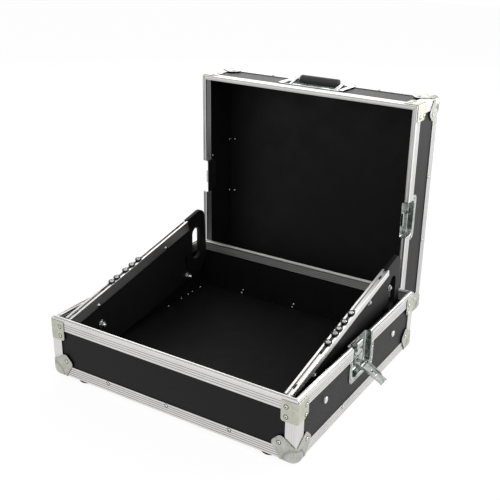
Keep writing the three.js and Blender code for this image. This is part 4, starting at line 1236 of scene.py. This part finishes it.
def nut_and_washer(bm, y, z):
    """A bolt's end with its nut and washer on the cheek's outer face."""
    face = CHEEK_X + CHEEK_THICKNESS
    place = ON_X @ moved(y, z, 0)
    plate(bm, hexagon(0, 0, 4.6, 0.4), face, face + 3.6, 0.5, (), place, 1)
    plate(bm, circle(0, 0, 6, 28), face - 0.2, face + 0.9, 0.25, (), place, 1)
    stem = [(0, 0), (2.4, 0), (2.5, 4.2), (1.9, 4.9), (0, 4.9)]
    lathe(bm, stem, facing((face, y, z), RIGHT), 16, 1)


def cheek(side):
    """The board that carries a rail, with its hand slot, bolt hole and curved slot."""
    low = FLOOR_TOP + 1.9
    front_y = 22 - HALF_DEPTH
    toe_y = HALF_DEPTH - 44
    pivot_y = BOLTS["pivot"][0]
    seat = RAIL_CHANNEL + RAIL_SKIN + SEAM
    rail_end = RAIL_REAR_Y + 2 * SEAM
    front_top = RAIL_FRONT_Z + (front_y - RAIL_FRONT_Y) * math.tan(RAIL_SLOPE)
    outline = rounded([
        (front_y, low, 6), (pivot_y, low),
        (toe_y, low + (toe_y - pivot_y) * math.tan(CHEEK_TILT), 15),
        (HALF_DEPTH - 21, 95, 15), (HALF_DEPTH - 27.5, 208, 20),
        (rail_end, RAIL_REAR_Z + RAIL_SKIN, 1),
        (rail_end + seat * math.sin(RAIL_SLOPE), RAIL_REAR_Z - seat * math.cos(RAIL_SLOPE)),
        (front_y, front_top - seat / math.cos(RAIL_SLOPE), 6),
    ])
    slot_y = HALF_DEPTH - 59.5
    hand_slot = box_outline(slot_y - 14, 95, slot_y + 14, 167, 13.8)
    bolt_hole = circle(*BOLTS["pivot"], BOLT_RADIUS + SEAM, 20)
    holes = [hand_slot, bolt_hole, lock_slot()]
    bm = bmesh.new()
    plate(bm, outline, CHEEK_X, CHEEK_X + CHEEK_THICKNESS, 0.9, holes, ON_X)
    nut_and_washer(bm, *CHEEK_NUT)
    sided("cheek", side, bm, f"rack_frame_{side}", [CHEEK_BOARD, LATCH_ZINC], "tilt_cheek")


def rail(side):
    """The slotted rail: a channel on top, a deep flange inside and a short one outside."""
    inner, outer = RAIL_INNER, RAIL_INNER + 2 * RAIL_HALF
    t, r = RAIL_SKIN, 0.45
    floor = -RAIL_WEB
    section = rounded([
        (inner, 0, r), (inner, -RAIL_INNER_FLANGE, 0.3), (inner + t, -RAIL_INNER_FLANGE, 0.3),
        (inner + t, floor - t), (outer - t, floor - t), (outer - t, -RAIL_OUTER_FLANGE, 0.3),
        (outer, -RAIL_OUTER_FLANGE, 0.3), (outer, 0, r), (outer - RAIL_LIP, 0, 0.4),
        (outer - RAIL_LIP, -t, 0.3), (outer - t, -t), (outer - t, floor), (inner + t, floor),
        (inner + t, -t), (inner + RAIL_LIP, -t, 0.3), (inner + RAIL_LIP, 0, 0.4),
    ], 3)
    bm = bmesh.new()
    along = ON_RAIL @ axes(REAR, LEFT, UP)
    bar(bm, [(-x, z) for x, z in section], lambda *p: 0.0, lambda *p: RAIL_LENGTH, along)
    head = [(0, 2.6), (1.4, 2.5), (3.4, 1.5), (4.3, 0.3), (4.3, 0), (0, 0)]
    for y, z in RAIL_BOLTS:
        lathe(bm, head, facing((RAIL_INNER, y, z), LEFT), 24, 1)
        nut_and_washer(bm, y, z)
    for share in RAIL_SLOTS:
        slot = box_outline(-2.2, -6, 2.2, 6, 2.1)
        at = ON_RAIL @ moved(RAIL_MIDDLE, share * RAIL_LENGTH, 0)
        # A near black plate on the channel floor: painted shade standing for the slot.
        plate(bm, slot, floor - 0.3, floor + 0.12, 0.1, (), at, 2)
    sided("rail", side, bm, f"rack_frame_{side}", [ALUMINIUM, LATCH_ZINC, SHADED_HOLE], "rack_rail")


def cross(radius, half):
    """A cross recess: four arms."""
    points = []
    for quarter in range(4):
        turn = Matrix.Rotation(math.radians(90 * quarter), 2)
        for point in ((radius, -half), (radius, half), (half, half)):
            points.append(tuple(turn @ Vector(point)))
    return points


def strip(side):
    """The threaded strip under the lips, with cup washers and cross-head screws."""
    shares = SCREW_SHARES[side]
    start = (shares[0] - 0.07) * RAIL_LENGTH
    end = (shares[-1] + 0.035) * RAIL_LENGTH
    half = RAIL_HALF - RAIL_SKIN - SEAM
    middle = RAIL_MIDDLE
    bm = bmesh.new()
    outline = box_outline(middle - half, start, middle + half, end, 0.8)
    plate(bm, outline, -3.05, -1.8, 0.3, (), ON_RAIL)
    raised = box_outline(middle - 2.4, start + 1, middle + 2.4, end - 1, 1)
    plate(bm, raised, -2.2, -0.5, 0.3, (), ON_RAIL)
    cup = [
        (2.5, 0.3), (5.6, 0.3), (6.5, 0.9), (6.9, 2.0), (6.8, 2.6), (6.3, 2.75), (5.8, 2.4),
        (5.3, 1.5), (2.5, 1.3),
    ]
    screw = [(0, -7), (2.2, -7), (2.5, -6.6), (2.5, 1.4), (0, 1.4)]
    head = [(4.5, 2.3), (4.35, 3.0), (3.7, 3.6), (2.75, 3.95), (2.75, 2.4), (4.4, 2.2)]
    for number, share in enumerate(shares):
        at = ON_RAIL @ moved(middle, share * RAIL_LENGTH, 0)
        spin = at @ Matrix.Rotation(0.7 + 1.9 * number, 4, "Z")
        ring(bm, cup, at, 28)
        lathe(bm, screw, at, 16)
        plate(bm, circle(0, 0, 4.5, 28), 1.3, 2.6, 0.3, (), spin, 1)
        ring(bm, head, at, 28, 1)
        plate(bm, circle(0, 0, 2.85, 24), 2.4, 4.0, 0.12, [cross(2.15, 0.5)], spin, 1)
    sided("strip", side, bm, f"rack_frame_{side}", [BLACK_STEEL, LATCH_ZINC], "screw_strip")


# Handle


def handle_fittings():
    """The pressed pan with its flange and the two sleeves for the bail."""
    bm = bmesh.new()
    face, back, skin = HANDLE_FACE, HANDLE_BACK, DISH_SKIN
    pan = box_outline(*HANDLE_PAN, 8.8)
    wall = [
        (2.4, face), (1.2, face - 0.25), (0.35, face - 1.1), (0, face - 2.4), (0, back + 2.6),
        (-0.35, back + 1.3), (-1.3, back + 0.35), (-2.6, back), (-2.6, back - skin),
        (-0.9, back - skin + 0.1), (0.8, back - 0.1), (1.2, back + 1.8), (1.2, face - 2.0),
        (2.4, face - 1.2),
    ]
    sweep(bm, outline_frames(pan, True), wall, ON_Y, closed=True)
    plate(bm, offset(pan, 2.3), back - skin, back, 0.15, (), ON_Y)
    flange = box_outline(*HANDLE_FLANGE, 10)
    plate(bm, flange, face - skin, face, 0.4, [offset(pan, -2.2)], ON_Y)
    bead = [(0.9, 0), (0.7, 0.35), (0, 0.55), (-0.7, 0.35), (-0.9, 0), (0, -0.3)]
    frames = outline_frames(box_outline(-72.5, 16.8, 72.5, 81.9, 7), True)
    sweep(bm, frames, [(a, face + b - 0.1) for a, b in bead], ON_Y, closed=True)
    middle = BAIL_HALF - 33 / 2 - BAIL_BEND / 2
    outer = BAIL_RADIUS + SEAM + 1.4
    tube = mirrored([(4.05, -9.7), (4.4, -10), (5.1, -10), (outer, -9.6)])
    foot = box_outline(HANDLE_BACK - 0.6, BAIL_Z - outer, BAIL_Y - 4.2, BAIL_Z + outer, 0.3)
    for x in (-middle, middle):
        ring(bm, tube, facing((x, BAIL_Y, BAIL_Z), RIGHT), 32)
        plate(bm, foot, -10, 10, 0.3, (), moved(x, 0, 0) @ ON_X)
    finish("handle_pan", bm, "lid", [CHROME], "handle_dish")


def bail():
    """The bent rod that carries the grip, and the ribbed grip."""
    hinge, hold = (BAIL_Y, BAIL_Z), (GRIP_Y, GRIP_Z)
    ends = [(-BAIL_END, *hinge), (-BAIL_HALF, *hinge), (-BAIL_HALF, *hold)]
    stops = [Vector(end) for end in ends] + [Vector((-x, y, z)) for x, y, z in reversed(ends)]
    path = [stops[0]]
    for before, corner, after in zip(stops, stops[1:], stops[2:]):
        enter = corner + (before - corner).normalized() * BAIL_BEND
        leave = corner + (after - corner).normalized() * BAIL_BEND
        for step in range(9):
            s = step / 8
            path.append(enter * (1 - s) ** 2 + corner * 2 * s * (1 - s) + leave * s * s)
    path.append(stops[-1])
    square = (stops[2] - stops[1]).normalized().cross(Vector(RIGHT)).normalized()
    frames = []
    for index, point in enumerate(path):
        ahead = path[min(index + 1, len(path) - 1)] - path[max(index - 1, 0)]
        forward = ahead.normalized()
        frames.append(axes(square.cross(forward).normalized(), square, forward, point))
    bm = bmesh.new()
    sweep(bm, frames, circle(0, 0, BAIL_RADIUS, 24))
    finish("bail_rod", bm, "handle", [CHROME], "handle_bail")

    bm = bmesh.new()
    h, r = GRIP_HALF, GRIP_RADIUS
    end = [(4.05, -h), (5.2, -h), (7.6, -h + 0.4), (9.0, -h + 1.6), (r, -h + 3.4)]
    profile = end[:]
    for k in range(-13, 14):
        z = 3.1 * k
        profile += [(r, z - 0.9), (r - 0.32, z - 0.5), (r - 0.32, z + 0.5), (r, z + 0.9)]
    profile += [(a, -b) for a, b in reversed(end)]
    ring(bm, profile, facing((0, GRIP_Y, GRIP_Z), RIGHT), 48)
    finish("grip", bm, "handle", [RUBBER], "handle_grip")


# Assembly

EDGE_RIVET_X = (-130, 2, 133)
EDGE_RIVET_Y = (-71, 71)
EDGE_RIVET_Z = 17.3
INSIDE_RIVET_X = {"base": (-137, -6, 130), "lid": (-130, 0, 130)}
INSIDE_RIVET_Y = {"base": (90, 137, 163, 179, 210), "lid": (-59, 70)}


def tray_rivets(tray):
    """Rivets of the edge angles, outside and where their stems come through inside."""
    for sign in (-1, 1):
        y, low_y = sign * HALF_DEPTH, sign * (HALF_DEPTH - EDGE_RIVET_Z)
        x, low_x = sign * HALF_WIDTH, sign * (HALF_WIDTH - EDGE_RIVET_Z)
        rivets(tray, [(a, y, EDGE_RIVET_Z) for a in EDGE_RIVET_X], (0, sign, 0), EDGE_RIVET)
        rivets(tray, [(a, low_y, 0) for a in EDGE_RIVET_X], DOWN, EDGE_RIVET)
        rivets(tray, [(x, a, EDGE_RIVET_Z) for a in EDGE_RIVET_Y], (sign, 0, 0), EDGE_RIVET)
        rivets(tray, [(low_x, a, 0) for a in EDGE_RIVET_Y], DOWN, EDGE_RIVET)
        wall = sign * (HALF_DEPTH - WALL_INSIDE)
        for a in INSIDE_RIVET_X[tray]:
            rivets(tray, [(a, wall, 19), (a - 3.6, wall, 11)], (0, -sign, 0), INSIDE_RIVET)
        floor_x = sign * (HALF_WIDTH - 18)
        rivets(tray, [(floor_x, a, FLOOR_TOP) for a in INSIDE_RIVET_Y[tray]], UP, INSIDE_RIVET)


for build in (tray_rivets, edge_bars, rim_bars, corners):
    build("base")
    build("lid")
feet()
for side, turn in SIDES.items():
    for build in (frame_bolts, latch, wing, catch, cheek, rail, strip):
        build(side)
    rivets("base", [(DISH_FACE, y, z) for y, z in DISH_RIVETS], RIGHT, DISH_RIVET, turn)
    rivets("lid", [(DISH_FACE, y, 80) for y in (-43.4, 43.4)], RIGHT, DISH_RIVET, turn)
    wall, leg = HALF_WIDTH - WALL_INSIDE, HALF_WIDTH - RIM_WIDTH
    rivets("lid", [(wall, y, 13.5) for y in INSIDE_RIVET_Y["lid"]], LEFT, INSIDE_RIVET, turn)
    rivets("lid", [(wall, y, 82.6) for y in (-35, 6, 45)], LEFT, DISH_RIVET, turn)
    rivets("lid", [(leg, y, 100.6) for y in (-40, 51)], LEFT, INSIDE_RIVET, turn)
handle_fittings()
bail()
for z, places in ((14, (-74, -26, 26, 74)), (80, (-74, 74))):
    rivets("lid", [(x, HANDLE_FACE, z) for x in places], REAR, HANDLE_RIVET)
for tray, bm in RIVETS.items():
    finish(f"{tray}_rivets", bm, tray, [RIVET_ZINC, SHADED_HOLE])

for name, node in frame["nodes"].items():
    if name.endswith("_panel"):
        node.data.materials.clear()
        node.data.materials.append(BOARDS["lid" if name.startswith("lid") else "base"])

# Floor, light and camera


WORLD_LIGHT = 0.5
FLOOR_SIZE = 14
FLOOR_GREY = 0.86
FLOOR_GLOW = 1.12
FLOOR_GLOW_SHARE = 0.8


def floor():
    """A pale floor that glows for the camera, most of it, and still takes the shadow."""
    low = -(FOOT_HEIGHT + ORIGIN_HEIGHT) * MILLIMETRE
    bpy.ops.mesh.primitive_plane_add(size=FLOOR_SIZE, location=(0, 0, low))
    plane = bpy.context.object
    plane.name = "floor"
    material = bpy.data.materials.new("floor")
    material.use_nodes = True
    n = Nodes(material.node_tree)
    n.tree.nodes.clear()
    diffuse = n.node("ShaderNodeBsdfDiffuse", {"Color": grey(FLOOR_GREY)}).outputs[0]
    glow = n.node("ShaderNodeEmission", {"Strength": FLOOR_GLOW}).outputs[0]
    share = n.maths("MULTIPLY", n.seen(), FLOOR_GLOW_SHARE)
    mix = n.node("ShaderNodeMixShader", {0: share, 1: diffuse, 2: glow}).outputs[0]
    n.node("ShaderNodeOutputMaterial", {0: mix})
    plane.data.materials.append(material)


def world():
    """White for the rays that the camera sees, and a softer light for all others."""
    studio = bpy.data.worlds.new("studio")
    bpy.context.scene.world = studio
    studio.use_nodes = True
    n = Nodes(studio.node_tree)
    background = n.tree.nodes["Background"].inputs
    n.feed(background["Color"], (1, 1, 1, 1))
    n.feed(background["Strength"], n.ramp(n.seen(), 0, 1, WORLD_LIGHT, 1.0))


def lamp(name, place, aim, size, power):
    light = bpy.data.lights.new(name, "AREA")
    light.shape = "DISK"
    light.size = size
    light.energy = power
    holder = bpy.data.objects.new(name, light)
    holder.location = place
    holder.rotation_euler = (Vector(aim) - Vector(place)).to_track_quat("-Z", "Y").to_euler()
    bpy.context.scene.collection.objects.link(holder)


CAMERA_PLACE = (0.7573, -1.1890, 0.8104)
CAMERA_AZIMUTH = math.radians(31.74)
CAMERA_ELEVATION = math.radians(22.51)
CAMERA_ROLL = math.radians(0.87)
CAMERA_LENS = 58.94


def camera():
    """The photo's camera, as solved from the edges of the base."""
    view = bpy.data.cameras.new("camera")
    view.lens = CAMERA_LENS
    view.sensor_width = 36
    holder = bpy.data.objects.new("camera", view)
    az, el = CAMERA_AZIMUTH, CAMERA_ELEVATION
    back = Vector((math.sin(az) * math.cos(el), -math.cos(az) * math.cos(el), math.sin(el)))
    right = (-back).cross(Vector(UP)).normalized()
    up = right.cross(-back)
    c, s = math.cos(CAMERA_ROLL), math.sin(CAMERA_ROLL)
    holder.matrix_world = axes(c * right + s * up, c * up - s * right, back, CAMERA_PLACE)
    bpy.context.scene.collection.objects.link(holder)
    bpy.context.scene.camera = holder


floor()
world()
lamp("back", (-1.25, 2.1, 1.75), (0, 0.2, 0.3), 2.4, 19)
lamp("side", (1.95, 1.8, 0.75), (0.26, 0, 0.05), 1.8, 38)
lamp("key", (1.0, -1.6, 2.4), (0, 0, 0.15), 2.6, 12)
camera()
bpy.context.scene.view_settings.view_transform = "Standard"
